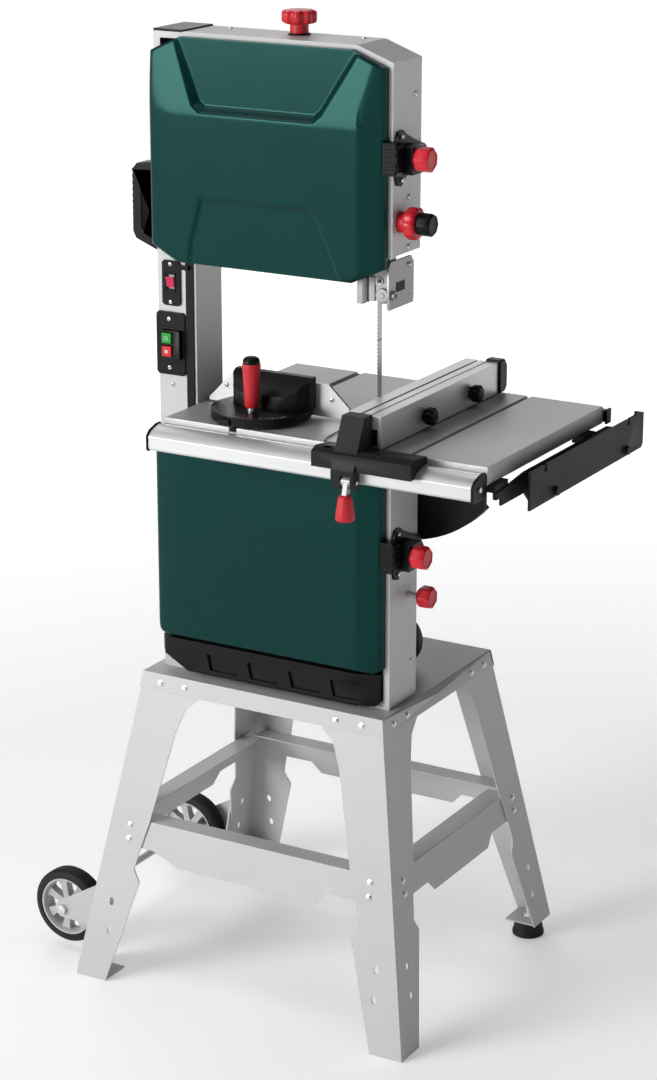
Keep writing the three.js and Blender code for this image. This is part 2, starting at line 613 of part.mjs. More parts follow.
function tableBody() {
  const slab = box(TABLE_L, TABLE_R, TABLE_F, TABLE_B, TABLE_TOP - TABLE_T, TABLE_TOP);
  const low = TABLE_TOP - TABLE_T - 1;
  const pockets = [];
  for (const [x0, x1] of [[-338, -246], [-212, -112], [6, 64], [84, 188]]) {
    for (const [y0, y1] of [[-44, 50], [58, 130], [166, 240], [248, 324]]) {
      pockets.push(box(x0, x1, y0, y1, low, TABLE_TOP - 12));
    }
  }
  pockets.push(box(-100, -4, 166, 240, low, TABLE_TOP - 12), box(-100, -4, 248, 324, low, TABLE_TOP - 12));
  return cut(
    slab,
    ...pockets,
    box(SLOT_X - 6, SLOT_X + 6, TABLE_F - 1, TABLE_B + 1, TABLE_TOP - 7, TABLE_TOP + 1),
    box(SLOT_2_X - 3.5, SLOT_2_X + 3.5, TABLE_F - 1, TABLE_B + 1, TABLE_TOP - 4, TABLE_TOP + 1),
    rod("z", BAND_X, BAND_Y + 7.5, 45.3, TABLE_TOP - 3, TABLE_TOP + 1, 40),
    rod("z", BAND_X, BAND_Y + 7.5, 38, low, TABLE_TOP - 1, 40),
    box(BAND_X - 1.2, BAND_X + 1.8, TABLE_F - 1, BAND_Y - 20, low, TABLE_TOP + 1),
  );
}

function insertBody() {
  return prism("z", circle(BAND_X, BAND_Y + 7.5, 45, 40), TABLE_TOP - 3, TABLE_TOP,
    [slot(BAND_X + 1.5, BAND_Y + 9, 5, 16)]);
}

const RAIL = [
  [TABLE_F, 410], [TABLE_F, 431], [-60, 435], [-64, 437], [-72, 437], [-90, 431], [-98, 424], [-98, 405], [-95, 402], [-62, 402],
];

function frontRail() {
  const wider = [[-56, 408], [-56, 433], [-62, 439], [-73, 439], [-92, 433], [-100, 425], [-100, 403], [-96, 400], [-61, 400]];
  return join(
    prism("x", RAIL, -354, 195),
    prism("x", wider, -357, -354),
    prism("x", wider, 195, 199.5),
  );
}

function rearRail() {
  const face = [[TABLE_B, 420], [TABLE_B, 438], [TABLE_B + 14, 438], [TABLE_B + 14, 432], [TABLE_B + 4, 428], [TABLE_B + 4, 420]];
  const cap = [[TABLE_B, 417], [TABLE_B, 440], [TABLE_B + 16, 440], [TABLE_B + 16, 417]];
  return join(prism("x", face, -347, 203), prism("x", cap, -350, -347), prism("x", cap, 203, 207));
}

// The tilt lock sits 175 mm from the pivot, behind the body.
const LOCK_X = BAND_X + 175 * Math.cos((-130 * Math.PI) / 180);
const LOCK_Z = TABLE_TOP + 175 * Math.sin((-130 * Math.PI) / 180);

function trunnionBody() {
  const z = TABLE_TOP;
  const outline = [
    [-226, z - TABLE_T], ...arc(BAND_X, z, TRUNNION_R, -146, -41, 26), [98, z - TABLE_T],
  ];
  const rim = [...arc(BAND_X, z, TRUNNION_R, -146, -41, 26), ...arc(BAND_X, z, 158, -41, -146, 20)];
  const track = [...arc(BAND_X, z, 181.5, -137, -79, 16), ...arc(BAND_X, z, 168.5, -79, -137, 16)];
  return cut(
    join(
      prism("y", outline, TRUNNION_Y, TRUNNION_Y + 6),
      prism("y", rim, TRUNNION_Y, TRUNNION_Y + 16),
      box(-215, 98, TRUNNION_Y, TRUNNION_Y + 16, z - TABLE_T - 12, z - TABLE_T),
    ),
    prism("y", track, TRUNNION_Y - 1, TRUNNION_Y + 17),
  );
}

function cradleBody() {
  const outline = [[-192, 286], [-130, 232], [-20, 232], [-20, 340], [-192, 340]];
  return cut(
    prism("y", outline, BODY_B, TRUNNION_Y - 0.3),
    rod("y", LOCK_X, LOCK_Z, 6.3, BODY_B + 2, TRUNNION_Y + 1),
  );
}

function tiltKnob() {
  const y = TRUNNION_Y + 16.3;
  const grip = prism("y", lobes(LOCK_X, LOCK_Z, 24, 3, 5, 6), y + 6, y + 26);
  return join(
    grip,
    rod("y", LOCK_X, LOCK_Z, 11, y, y + 7),
    rod("y", LOCK_X, LOCK_Z, 6, BODY_B + 4, y + 1, 16),
  );
}

function fenceProfile() {
  const outline = [
    [-30, 447], [27, 447], [27, 496], [8, 496], [8, 497], [-5, 497], [-5, 489], [-2, 489], [-2, 484], [-12, 484],
    [-12, 489], [-9, 489], [-9, 497], [-30, 497],
  ];
  const core = [[-26, 451], [23, 451], [23, 478], [-26, 478]];
  return prism("y", outline, -60, 318, [core]);
}

function fenceCap() {
  return prism("x", [[318, 446.5], [336, 446.5], [344, 454], [344, 488], [336, 500], [318, 500]], 4, 31);
}

function fenceHead() {
  const body = [
    [-61, 438.6], [-61, 449], [-100, 453], [-112, 447], [-112, 424], [-98.5, 424], [-98.5, 433], [-91, 434.5], [-74, 438.6],
  ];
  const stem = [
    [-61, 438.6], [-61, 499], [-84, 499], [-118, 425], [-118, 405], [-98.5, 405], [-98.5, 433], [-91, 434.5], [-74, 438.6],
  ];
  const ear = rect(-117, -101, 397, 406);
  return cut(
    join(
      prism("x", body, -60, 105),
      prism("x", stem, -24, 14),
      prism("x", ear, -20, -8.3),
      prism("x", ear, 8.3, 14),
    ),
    box(-45, -33, -102, -90, 446, 460),
    box(-8.3, 8.3, -120, -98, 380, 417.5),
  ).add(rod("x", -109, 408, 3, -19, 13, 12));
}

function fenceLever() {
  const arm = prism("x", [[-117, 408], [-101, 408], [-112, 387], [-122, 387]], -4, 5);
  const grip = turned("z", [
    [0, 0], [13.5, 0], [14.5, 3], [14, 10], [10.5, 35], [9, 39], [0, 39],
  ], 1, -118, 351);
  return cut(
    join(rod("x", -109, 408, 8, -8, 8, 20), arm, grip),
    rod("x", -109, 408, 3.3, -9, 9, 12),
  );
}

const PIVOT_X = -222;
const PIVOT_Y = 15;

function gaugeBar() {
  return join(
    box(SLOT_X - 5.7, SLOT_X + 5.7, -30, 200, TABLE_TOP - 6.7, TABLE_TOP + 0.5),
    rod("z", PIVOT_X, PIVOT_Y, 18, TABLE_TOP + 0.3, TABLE_TOP + 4),
    rod("z", PIVOT_X, PIVOT_Y, 5, TABLE_TOP + 3, TABLE_TOP + 15, 16),
  );
}

function gaugeBody() {
  const z = TABLE_TOP + 4.3;
  const disc = rod("z", PIVOT_X, PIVOT_Y, 77, z, z + 13, FINE).intersect(box(-300, -140, -70, 57, z, z + 13));
  const plan = [[-286, 57], [-286, 38], [-272, 16], [-250, 8], [-190, 8], [-164, 18], [-150, 38], [-150, 57]];
  const side = [[57, 455], [57, 509], [46, 509], [28, 499], [10, 482], [6, 455]];
  const hood = prism("z", plan, z + 12, z + 62).intersect(prism("x", side, -300, -140));
  return cut(
    join(disc, hood, box(-248, -230, -66, -54, z, z + 9)),
    rod("z", PIVOT_X, PIVOT_Y, 5.3, z - 1, z + 11.2, 16),
  );
}

function gaugePlate() {
  const outline = [[-342, 448], [-92, 448], [-92, 466], [-128, 499], [-299, 497], [-342, 453]];
  return prism("y", outline, 57, 62);
}

function gaugeHandle() {
  const z = TABLE_TOP + 17.3;
  return turned("z", [
    [0, 0], [7, 0], [7, 5], [10.5, 7], [14, 66], [14.3, 73], [13.3, 74], [13, 80], [9, 84], [0, 84],
  ], PIVOT_X, -12, z);
}

function sideBracket() {
  const inner = [[-35, 384], [-35, 407], [42, 416], [330, 416], [372, 405], [372, 366], [60, 366], [42, 384]];
  const outer = [[14, 366], [410, 366], [416, 372], [416, 422], [388, 430], [385, 424], [14, 424]];
  const hook = (y) => prism("x", [[y, 414], [y + 8, 414], [y + 8, 432], [y + 3, 432], [y + 3, 420], [y, 420]], 220, 240);
  const post = (y, z) => join(rod("x", y, z, 8, 211, 231), rod("x", y, z, 7, 233, 240));
  return cut(
    join(
      prism("x", inner, 208, 212),
      prism("x", outer, 230, 234),
      box(188, 209, -50, -8, 406, 417.7),
      box(188, 209, 250, 290, 406, 417.7),
      box(205, 212, -50, -8, 396, 407),
      post(99, 376),
      post(351, 376),
    ),
    hook(60),
    hook(354),
  );
}

function plateBody(x0, x1, z0, z1, windowCuts) {
  return cut(prism("y", [
    [x0 + 4, z0], [x1 - 4, z0], [x1, z0 + 4], [x1, z1 - 4], [x1 - 4, z1], [x0 + 4, z1], [x0, z1 - 4], [x0, z0 + 4],
  ], 38, BODY_F), ...windowCuts);
}

function mainSwitch() {
  return cut(
    join(plateBody(-426, -373, 484, 584, []), box(-411, -377, 28, 39, 512, 557)),
    box(-408.3, -390.7, 20, 36, 536.7, 553.3),
    box(-408.3, -390.7, 20, 36, 515.7, 532.3),
  );
}

const buttonBody = (z) => box(-408, -391, 25, 32.5, z, z + 16);

function rockerBody() {
  return prism("x", [[39.5, 623], [39.5, 639], [34.5, 640], [36, 631], [37.5, 623]], -405, -391);
}

function coverStrip() {
  return join(
    box(-371.5, -358, 39.5, BODY_F, 402, 666),
    box(-379, -364, 35, 39.6, 653, 660),
  );
}

function buildStand(group) {
  group.add(painted("stand_top_tray", trayBody()));
  group.add(painted("leg_front_right", legBody(1, -1, 0)));
  group.add(painted("leg_front_left", legBody(-1, -1, 0)));
  group.add(painted("leg_rear_right", legBody(1, 1, FOOT_H)));
  group.add(painted("leg_rear_left", legBody(-1, 1, FOOT_H)));
  group.add(painted("brace_front", braceBody(TOP_W, 42, 51, corner(1, -1), SPLAY_Y, 0)));
  group.add(painted("brace_rear", braceBody(TOP_W, 72.5, 18.5, corner(1, 1), SPLAY_Y, 0)));
  group.add(painted("brace_right", braceBody(TOP_D, 72.5, 18.5, sideFrame(1), SPLAY_X, 24)));
  group.add(painted("brace_left", braceBody(TOP_D, 72.5, 18.5, sideFrame(-1), SPLAY_X, 24)));
  group.add(plastic("rubber_foot_right", footBody(1), RUBBER));
  group.add(plastic("rubber_foot_left", footBody(-1), RUBBER));
  group.add(metal("caster_axle", axleBody(), ALLOY));
  group.add(plastic("caster_wheel_front", casterBody(CASTER_FRONT_Y), RUBBER));
  group.add(plastic("caster_wheel_rear", casterBody(CASTER_REAR_Y), RUBBER));
}

function buildFrame(group) {
  group.add(painted("lower_housing", join(lowerHousing(), hingePin(80.3), hingePin(280.3))));
  group.add(painted("column", columnBody()));
  group.add(painted("upper_housing", join(upperHousing(), hingePin(700.3), hingePin(900.3))));
  group.add(plastic("top_cap", box(BODY_L, -371.3, BODY_F, BODY_B, UPPER_TOP - 1.2, UPPER_TOP + 2.5)));
  group.add(plastic("band_cover_strip", coverStrip()));
  group.add(plastic("dust_skirt", skirtBody()));
  group.add(plastic("carry_handle", handleBody()));
  group.add(plastic("motor", motorBody()));
  group.add(metal("motor_pulley", pulleyBody()));
  group.add(plastic("drive_belt", beltBody(), RUBBER));
  group.add(metal("saw_band", bandBody(), ALLOY));
  group.add(metal("lower_band_wheel", bandWheel(LOWER_Z, true)));
  group.add(metal("upper_band_wheel", bandWheel(UPPER_Z, false)));
  group.add(metal("tension_carriage", carriageBody()));
  group.add(plastic("tension_knob", tensionKnob(), RED));
  group.add(part("upper_door", doorWithCatch(upperDoor(), 856), GREEN, 0.35, 0));
  group.add(part("lower_door", doorWithCatch(lowerDoor(), 252), GREEN, 0.35, 0));
  group.add(plastic("upper_latch_bracket", latchBracket(852)));
  group.add(plastic("lower_latch_bracket", latchBracket(248)));
  group.add(plastic("upper_latch_knob", sideKnob(56, 855, 20, 46, 19, 7, 4), RED));
  group.add(plastic("lower_latch_knob", sideKnob(56, 251, 20, 46, 19, 7, 4), RED));
  group.add(plastic("post_lock_ring", ringBody(), RED));
  group.add(plastic("post_height_knob", heightKnob()));
  group.add(plastic("belt_tension_knob", sideKnob(102, 172, 7, 31, 18, -30, 5), RED));
  group.add(metal("guide_post", postBody()));
  group.add(metal("band_guide", guideBody(), ALLOY));
  group.add(plastic("lamp_switch_plate", plateBody(-414, -381, 594, 665, [box(-405.4, -390.6, 37, 43, 620.5, 642.5)])));
  group.add(plastic("lamp_rocker", rockerBody(), RED));
  group.add(plastic("main_switch", mainSwitch()));
  group.add(plastic("start_button", buttonBody(537), 0x1f9a3a));
  group.add(plastic("stop_button", buttonBody(516), RED));
}

function buildTable(group) {
  group.add(metal("saw_table", tableBody(), IRON));
  group.add(metal("table_insert", insertBody(), ALLOY));
  group.add(metal("front_rail", frontRail(), ALLOY));
  group.add(metal("rear_rail", rearRail(), ALLOY));
  group.add(plastic("trunnion", trunnionBody()));
  group.add(plastic("trunnion_cradle", cradleBody()));
  group.add(plastic("tilt_lock_knob", tiltKnob()));
  group.add(metal("fence_profile", join(fenceProfile(), fenceCap()), ALLOY));
  group.add(plastic("fence_head", fenceHead()));
  group.add(plastic("fence_lever", fenceLever(), RED));
  group.add(metal("gauge_bar", gaugeBar()));
  group.add(plastic("gauge_body", gaugeBody()));
  group.add(metal("gauge_plate", gaugePlate(), ALLOY));
  group.add(plastic("gauge_handle", gaugeHandle(), RED));
  group.add(plastic("side_bracket", sideBracket()));
}

const bandSaw = new THREE.Group();
bandSaw.name = "band_saw";
for (const [name, build] of [["stand", buildStand], ["frame", buildFrame], ["table", buildTable]]) {
  const group = new THREE.Group();
  group.name = name;
  group.position.set(ORIGIN_X, ORIGIN_Y, STAND_H);
  build(group);
  bandSaw.add(group);
}

export default bandSaw;
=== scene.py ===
"""Looks for an upright two-wheel band saw on a wheeled sheet-metal stand."""

import json
import math

import bmesh
import bpy
import numpy as np
from mathutils import Matrix, Vector


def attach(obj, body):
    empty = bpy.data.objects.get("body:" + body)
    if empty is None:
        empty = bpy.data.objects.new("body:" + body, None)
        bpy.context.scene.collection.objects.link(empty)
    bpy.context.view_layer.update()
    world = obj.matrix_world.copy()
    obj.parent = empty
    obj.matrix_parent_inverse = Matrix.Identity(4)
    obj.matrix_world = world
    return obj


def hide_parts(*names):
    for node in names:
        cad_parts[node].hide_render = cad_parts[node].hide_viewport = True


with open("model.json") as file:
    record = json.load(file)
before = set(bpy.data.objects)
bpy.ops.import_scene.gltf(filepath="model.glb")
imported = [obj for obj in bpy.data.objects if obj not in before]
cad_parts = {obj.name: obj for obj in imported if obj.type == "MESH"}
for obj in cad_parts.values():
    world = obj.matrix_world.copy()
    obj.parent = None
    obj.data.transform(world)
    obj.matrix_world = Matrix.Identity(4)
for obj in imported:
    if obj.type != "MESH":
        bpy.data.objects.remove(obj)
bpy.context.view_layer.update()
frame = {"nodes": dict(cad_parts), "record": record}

# Drawing frame: millimetres from the stand top's front right corner, X right, Y back, Z up.
ORIGIN = Vector((0.2045, -0.15815, 0.52))
MM = 0.001
SPLAY_X = 88 / 520
SPLAY_Y = 90 / 520
BAND_X, BAND_Y, BAND_W, BAND_T = -53, 71, 15, 0.7
WHEEL_R, WHEEL_X, UPPER_Z, LOWER_Z = 157.5, -210.5, 843, 210
TOP_W, TOP_D = 439, 366
LOCK_X = BAND_X + 175 * math.cos(math.radians(-130))
LOCK_Z = 445 + 175 * math.sin(math.radians(-130))


# ---------------------------------------------------------------- materials
def graph(name):
    material = bpy.data.materials.new(name)
    material.use_nodes = True
    tree = material.node_tree
    return material, tree, tree.nodes["Principled BSDF"]


def add(tree, kind, **values):
    node = tree.nodes.new(kind)
    for key, value in values.items():
        if key in node.inputs.keys():
            node.inputs[key].default_value = value
        else:
            setattr(node, key, value)
    return node


def ranged(tree, source, low, high, from_low=0.3, from_high=0.7):
    node = add(tree, "ShaderNodeMapRange")
    node.inputs["From Min"].default_value = from_low
    node.inputs["From Max"].default_value = from_high
    node.inputs["To Min"].default_value = low
    node.inputs["To Max"].default_value = high
    tree.links.new(source, node.inputs["Value"])
    return node.outputs["Result"]


def blend_colour(tree, factor, a, b):
    node = add(tree, "ShaderNodeMix", data_type="RGBA")
    tree.links.new(factor, node.inputs[0])
    for socket, value in ((node.inputs[6], a), (node.inputs[7], b)):
        if isinstance(value, (tuple, list)):
            socket.default_value = (*value[:3], 1)
        else:
            tree.links.new(value, socket)
    return node.outputs[2]


def scaled(colour, k):
    return tuple(min(1.0, c * k) for c in colour)


def surface(name, colour, rough, metal=0.0, spread=0.06, cloud=7.0, grain=900.0, bump=0.12, depth=0.0002,
            drough=0.05, coat=0.0, stretch=(1, 1, 1), edge_wear_and_highlight=None, edge_wear_and_highlight_share=0.45, specular=0.5, speck=0.03,
            tint=None):
    material, tree, shader = graph(name)
    link = tree.links.new
    place = add(tree, "ShaderNodeTexCoord")
    mapping = add(tree, "ShaderNodeMapping")
    mapping.inputs["Scale"].default_value = stretch
    link(place.outputs["Object"], mapping.inputs["Vector"])
    clouds = add(tree, "ShaderNodeTexNoise", Scale=cloud, Detail=4.0, Roughness=0.6)
    link(place.outputs["Object"], clouds.inputs["Vector"])
    fine = add(tree, "ShaderNodeTexNoise", Scale=grain, Detail=3.0, Roughness=0.65)
    link(mapping.outputs["Vector"], fine.inputs["Vector"])
    broad = blend_colour(tree, ranged(tree, clouds.outputs["Fac"], 0, 1), scaled(colour, 1 - spread),
                         scaled(colour, 1 + spread))
    shade = add(tree, "ShaderNodeMix", data_type="RGBA", blend_type="MULTIPLY")
    shade.inputs[0].default_value = 1.0
    link(broad, shade.inputs[6])
    flecks = blend_colour(tree, ranged(tree, fine.outputs["Fac"], 0, 1), (1 - speck,) * 3, (1.0,) * 3)
    link(flecks, shade.inputs[7])
    out = shade.outputs[2]
    # Lighter edge colour: partly chipped edge wear, partly a painted highlight along the rounded edges, broken up by
    # noise.
    if edge_wear_and_highlight:
        rounded = add(tree, "ShaderNodeBevel", samples=3)
        rounded.inputs["Radius"].default_value = 0.0012
        geometry = add(tree, "ShaderNodeNewGeometry")
        turn = add(tree, "ShaderNodeVectorMath", operation="DOT_PRODUCT")
        link(rounded.outputs["Normal"], turn.inputs[0])
        link(geometry.outputs["Normal"], turn.inputs[1])
        edge_patches = add(tree, "ShaderNodeTexNoise", Scale=140.0, Detail=5.0)
        link(place.outputs["Object"], edge_patches.inputs["Vector"])
        gate = add(tree, "ShaderNodeMath", operation="MULTIPLY")
        link(ranged(tree, turn.outputs["Value"], edge_wear_and_highlight_share, 0, 0.86, 0.985), gate.inputs[0])
        link(ranged(tree, edge_patches.outputs["Fac"], 0.15, 1.0, 0.4, 0.62), gate.inputs[1])
        out = blend_colour(tree, gate.outputs[0], out, edge_wear_and_highlight)
    link(out, shader.inputs["Base Color"])
    link(ranged(tree, clouds.outputs["Fac"], rough - drough, rough + drough), shader.inputs["Roughness"])
    relief = add(tree, "ShaderNodeBump", Strength=bump, Distance=depth)
    link(fine.outputs["Fac"], relief.inputs["Height"])
    link(relief.outputs["Normal"], shader.inputs["Normal"])
    shader.inputs["Metallic"].default_value = metal
    shader.inputs["Specular IOR Level"].default_value = specular
    shader.inputs["Coat Weight"].default_value = coat
    shader.inputs["Coat Roughness"].default_value = 0.12
    if tint:
        shader.inputs["Specular Tint"].default_value = (*tint, 1)
    return material


def brushed(name, colour, rough, along, metal=0.85, bump=0.1, spread=0.04, grain=420.0, edge_wear_and_highlight=None, speck=0.05):
    stretch = tuple(0.02 if i == "xyz".index(along) else 1.0 for i in range(3))
    return surface(name, colour, rough, metal, spread, 4.0, grain, bump, 0.00006, 0.05, 0, stretch, edge_wear_and_highlight,
                   speck=speck)


# Each lighter edge colour below is partly edge wear, partly a painted highlight on the edges.
PAINT = surface("powder_grey", (0.455, 0.458, 0.462), 0.44, 0.08, 0.025, 5, 1300, 0.10, 0.0002, 0.04,
                edge_wear_and_highlight=(0.72, 0.73, 0.74))
# The stand top has the same grey powder coat, mixed a little darker here as painted shade for its dimly lit top.
SHADED_TRAY_PAINT = surface("powder_grey_painted_shade", (0.44, 0.443, 0.447), 0.44, 0.08, 0.03, 6, 1300, 0.10, 0.0002, 0.04,
                     edge_wear_and_highlight=(0.72, 0.73, 0.74))
GREEN = surface("door_green", (0.0026, 0.0225, 0.0208), 0.24, 0.0, 0.05, 4, 1500, 0.05, 0.00015, 0.02,
                edge_wear_and_highlight=(0.02, 0.09, 0.082),
                specular=0.2, tint=(0.32, 1.0, 0.9))
BLACK = surface("moulded_black", (0.0034, 0.0034, 0.0037), 0.36, 0.0, 0.2, 9, 1100, 0.25, 0.0003, 0.06,
                edge_wear_and_highlight=(0.025, 0.025, 0.027), specular=0.15)
# Black cast parts; also the colour of painted shade in the guide's gaps and the fence's hollow end.
CAST_BLACK_AND_SHADE = surface("cast_black_and_shade", (0.004, 0.004, 0.0045), 0.52, 0.0, 0.25, 12, 420, 0.5, 0.0005, 0.08,
                     edge_wear_and_highlight=(0.03, 0.03, 0.032), specular=0.16)
BRACKET = surface("bracket_grey", (0.013, 0.013, 0.0135), 0.46, 0.0, 0.08, 8, 1300, 0.2, 0.0003, 0.05,
                  edge_wear_and_highlight=(0.07, 0.07, 0.072), specular=0.12)
RED = surface("gloss_red", (0.52, 0.012, 0.024), 0.34, 0.0, 0.07, 20, 900, 0.06, 0.0002, 0.05,
              edge_wear_and_highlight=(0.60, 0.06, 0.07), specular=0.35)
GRIP_RED = surface("soft_red", (0.46, 0.014, 0.022), 0.45, 0.0, 0.08, 25, 1400, 0.3, 0.0003, 0.06,
                   edge_wear_and_highlight=(0.60, 0.07, 0.07), specular=0.3)
PINK = surface("rocker_red", (0.48, 0.006, 0.06), 0.30, 0.0, 0.06, 60, 1500, 0.05, 0.0001, 0.04, specular=0.4)
BUTTON_GREEN = surface("button_green", (0.008, 0.26, 0.02), 0.38, 0.0, 0.06, 60, 1500, 0.08, 0.0001, 0.04,
                       specular=0.3)
BUTTON_RED = surface("button_red", (0.52, 0.010, 0.018), 0.38, 0.0, 0.06, 60, 1500, 0.08, 0.0001, 0.04,
                     specular=0.3)
RUBBER = surface("rubber", (0.008, 0.008, 0.008), 0.62, 0.0, 0.25, 25, 700, 0.5, 0.0004, 0.08,
                 edge_wear_and_highlight=(0.03, 0.03, 0.03), specular=0.25)
HUB = surface("hub_grey", (0.42, 0.425, 0.43), 0.45, 0.0, 0.06, 15, 900, 0.25, 0.0003, 0.06,
              edge_wear_and_highlight=(0.6, 0.6, 0.6), specular=0.35)
ZINC = surface("zinc", (0.66, 0.67, 0.69), 0.28, 0.9, 0.10, 40, 500, 0.2, 0.0002, 0.08, edge_wear_and_highlight=(0.85, 0.85, 0.86))
CAST_ALLOY = surface("cast_alloy", (0.30, 0.30, 0.304), 0.42, 0.45, 0.10, 30, 520, 0.4, 0.0004, 0.08,
                     edge_wear_and_highlight=(0.66, 0.66, 0.67))
# Dark steel for hinges, wire and screws; also the colour of painted shade in screw recesses, slots and grooves.
DARK_STEEL_AND_SHADE = surface("dark_steel_and_shade", (0.03, 0.03, 0.032), 0.42, 0.5, 0.2, 30, 600, 0.35, 0.0003, 0.1,
                     edge_wear_and_highlight=(0.18, 0.18, 0.185))
CAST_IRON = surface("cast_iron", (0.09, 0.09, 0.092), 0.55, 0.4, 0.2, 18, 380, 0.6, 0.0006, 0.1,
                    edge_wear_and_highlight=(0.25, 0.25, 0.25))
TABLE = brushed("table_ground", (0.42, 0.42, 0.423), 0.42, "y", 0.4, 0.10, 0.05, 420, edge_wear_and_highlight=(0.75, 0.75, 0.76),
                speck=0.06)
ALLOY_X = brushed("alloy_x", (0.56, 0.562, 0.566), 0.38, "x", 0.5, 0.10, edge_wear_and_highlight=(0.92, 0.92, 0.93))
ALLOY_Y = brushed("alloy_y", (0.60, 0.602, 0.606), 0.36, "y", 0.6, 0.10, edge_wear_and_highlight=(0.9, 0.9, 0.91))
BAND = brushed("band_steel", (0.44, 0.44, 0.45), 0.32, "z", 0.75, 0.15)
POST = brushed("post_steel", (0.5, 0.5, 0.51), 0.28, "z", 0.9, 0.12)
INSERT = surface("insert_alloy", (0.32, 0.32, 0.325), 0.42, 0.4, 0.08, 20, 800, 0.3, 0.0002, 0.06)


# ---------------------------------------------------------------- shapes, in drawing millimetres
def spot(axis, h, a, b):
    return {"x": (h, a, b), "y": (a, h, b), "z": (a, b, h)}[axis]


def polygon(axis, outline, low, high):
    n = len(outline)
    verts = [spot(axis, low, a, b) for a, b in outline] + [spot(axis, high, a, b) for a, b in outline]
    faces = [tuple(range(n)), tuple(range(n, 2 * n))]
    faces += [(i, (i + 1) % n, (i + 1) % n + n, i + n) for i in range(n)]
    return verts, faces


def block(x0, x1, y0, y1, z0, z1):
    return polygon("z", [(x0, y0), (x1, y0), (x1, y1), (x0, y1)], z0, z1)


def revolve(axis, a, b, stations, n=48, lobes=0, depth=0.0, power=1.0, closed=False):
    """Rings of (height, radius[, scallop share]) about an axis; closed joins the last ring to the first."""
    verts, faces = [], []
    for station in stations:
        h, r = station[:2]
        share = station[2] if len(station) > 2 else (1.0 if lobes else 0.0)
        for i in range(n):
            t = 2 * math.pi * i / n
            dent = depth * share * (0.5 + 0.5 * math.cos(lobes * t)) ** power if lobes else 0
            verts.append(spot(axis, h, a + (r - dent) * math.cos(t), b + (r - dent) * math.sin(t)))
    rings = len(stations)
    spans = rings if closed else rings - 1
    for k in range(spans):
        p, q = k * n, ((k + 1) % rings) * n
        faces += [(p + i, p + (i + 1) % n, q + (i + 1) % n, q + i) for i in range(n)]
    if not closed:
        faces += [tuple(range(n)), tuple(range((rings - 1) * n, rings * n))]
    return verts, faces


def faceted(axis, a, b, stations, sides, n=84, turn=0.0):
    """Rings like revolve's, flattened into the given number of sides; each station is (height, radius, flatness)."""
    verts, faces = [], []
    for h, r, flat in stations:
        for i in range(n):
            t = 2 * math.pi * i / n
            u = (t - turn) % (2 * math.pi / sides) - math.pi / sides
            side = min(0.988, math.cos(math.pi / sides) / math.cos(u))
            q = r * (1 - flat + flat * side)
            verts.append(spot(axis, h, a + q * math.cos(t), b + q * math.sin(t)))
    rings = len(stations)
    faces = [(k * n + i, k * n + (i + 1) % n, (k + 1) * n + (i + 1) % n, (k + 1) * n + i)
             for k in range(rings - 1) for i in range(n)]
    faces += [tuple(range(n)), tuple(range((rings - 1) * n, rings * n))]
    return verts, faces


def moved(shape, matrix):
    verts, faces = shape
    return [tuple(matrix @ Vector(v)) for v in verts], faces


def facing(point, normal):
    return Matrix.Translation(Vector(point)) @ Vector(normal).to_track_quat("Z", "Y").to_matrix().to_4x4()


def piece(name, shapes, material, body, bevel=0.0, segments=2, angle=35.0, smooth=38.0, replaces=()):
    mesh = bpy.data.meshes.new(name)
    verts, faces = [], []
    for v, f in shapes:
        base = len(verts)
        verts += [tuple(Vector(p) * MM + ORIGIN) for p in v]
        faces += [tuple(i + base for i in face) for face in f]
    mesh.from_pydata(verts, [], faces)
    return dress(bpy.data.objects.new(name, mesh), material, body, bevel, segments, angle, smooth,
                 replaces)


def dress(obj, material, body, bevel, segments, angle, smooth, replaces):
    mesh = obj.data
    bm = bmesh.new()
    bm.from_mesh(mesh)
    bmesh.ops.recalc_face_normals(bm, faces=bm.faces)
    bm.to_mesh(mesh)
    bm.free()
    if obj.name not in bpy.context.scene.collection.objects:
        bpy.context.scene.collection.objects.link(obj)
    mesh.materials.clear()
    mesh.materials.append(material)
    mesh.shade_smooth()
    mesh.set_sharp_from_angle(angle=math.radians(smooth))
    if bevel:
        modifier = obj.modifiers.new("edges", "BEVEL")
        modifier.width = bevel * MM
        modifier.segments = segments
        modifier.limit_method = "ANGLE"
        modifier.angle_limit = math.radians(angle)
        modifier.harden_normals = True
    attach(obj, body)
    if replaces:
        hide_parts(*replaces)
    return obj


def body_with(node):
    return next(body for body, members in frame["record"]["behaviour"]["bodies"].items() if node in members)


def copy_node(node, material, bevel=0.8, segments=2, angle=38.0, smooth=38.0):
    """A bevelled copy of a CAD node, on the node's own body, standing for it."""
    bm = bmesh.new()
    bm.from_mesh(frame["nodes"][node].data)
    bmesh.ops.remove_doubles(bm, verts=bm.verts, dist=2e-5)
    bmesh.ops.dissolve_limit(bm, angle_limit=math.radians(0.6), verts=bm.verts, edges=bm.edges)
    mesh = bpy.data.meshes.new("shaped_" + node)
    bm.to_mesh(mesh)
    bm.free()
    obj = bpy.data.objects.new("shaped_" + node, mesh)
    return dress(obj, material, body_with(node), bevel, segments, angle, smooth, (node,))


# ---------------------------------------------------------------- fasteners
def hex_bolt(point, normal, r, washer=True):
    shapes = [moved(revolve("z", 0, 0, [(0.2, r), (r * 0.62, r), (r * 0.72, r * 0.84)], 6),
                    facing(point, normal))]
    if washer:
        shapes.append(moved(revolve("z", 0, 0, [(0, r * 1.35), (r * 0.16, r * 1.35), (r * 0.2, r * 1.28)], 28),
                            facing(point, normal)))
    return shapes


def pan_screw(point, normal, r):
    stations = [(0, r), (r * 0.18, r), (r * 0.38, r * 0.86), (r * 0.5, r * 0.6), (r * 0.54, r * 0.3)]
    return [moved(revolve("z", 0, 0, stations, 24), facing(point, normal))]


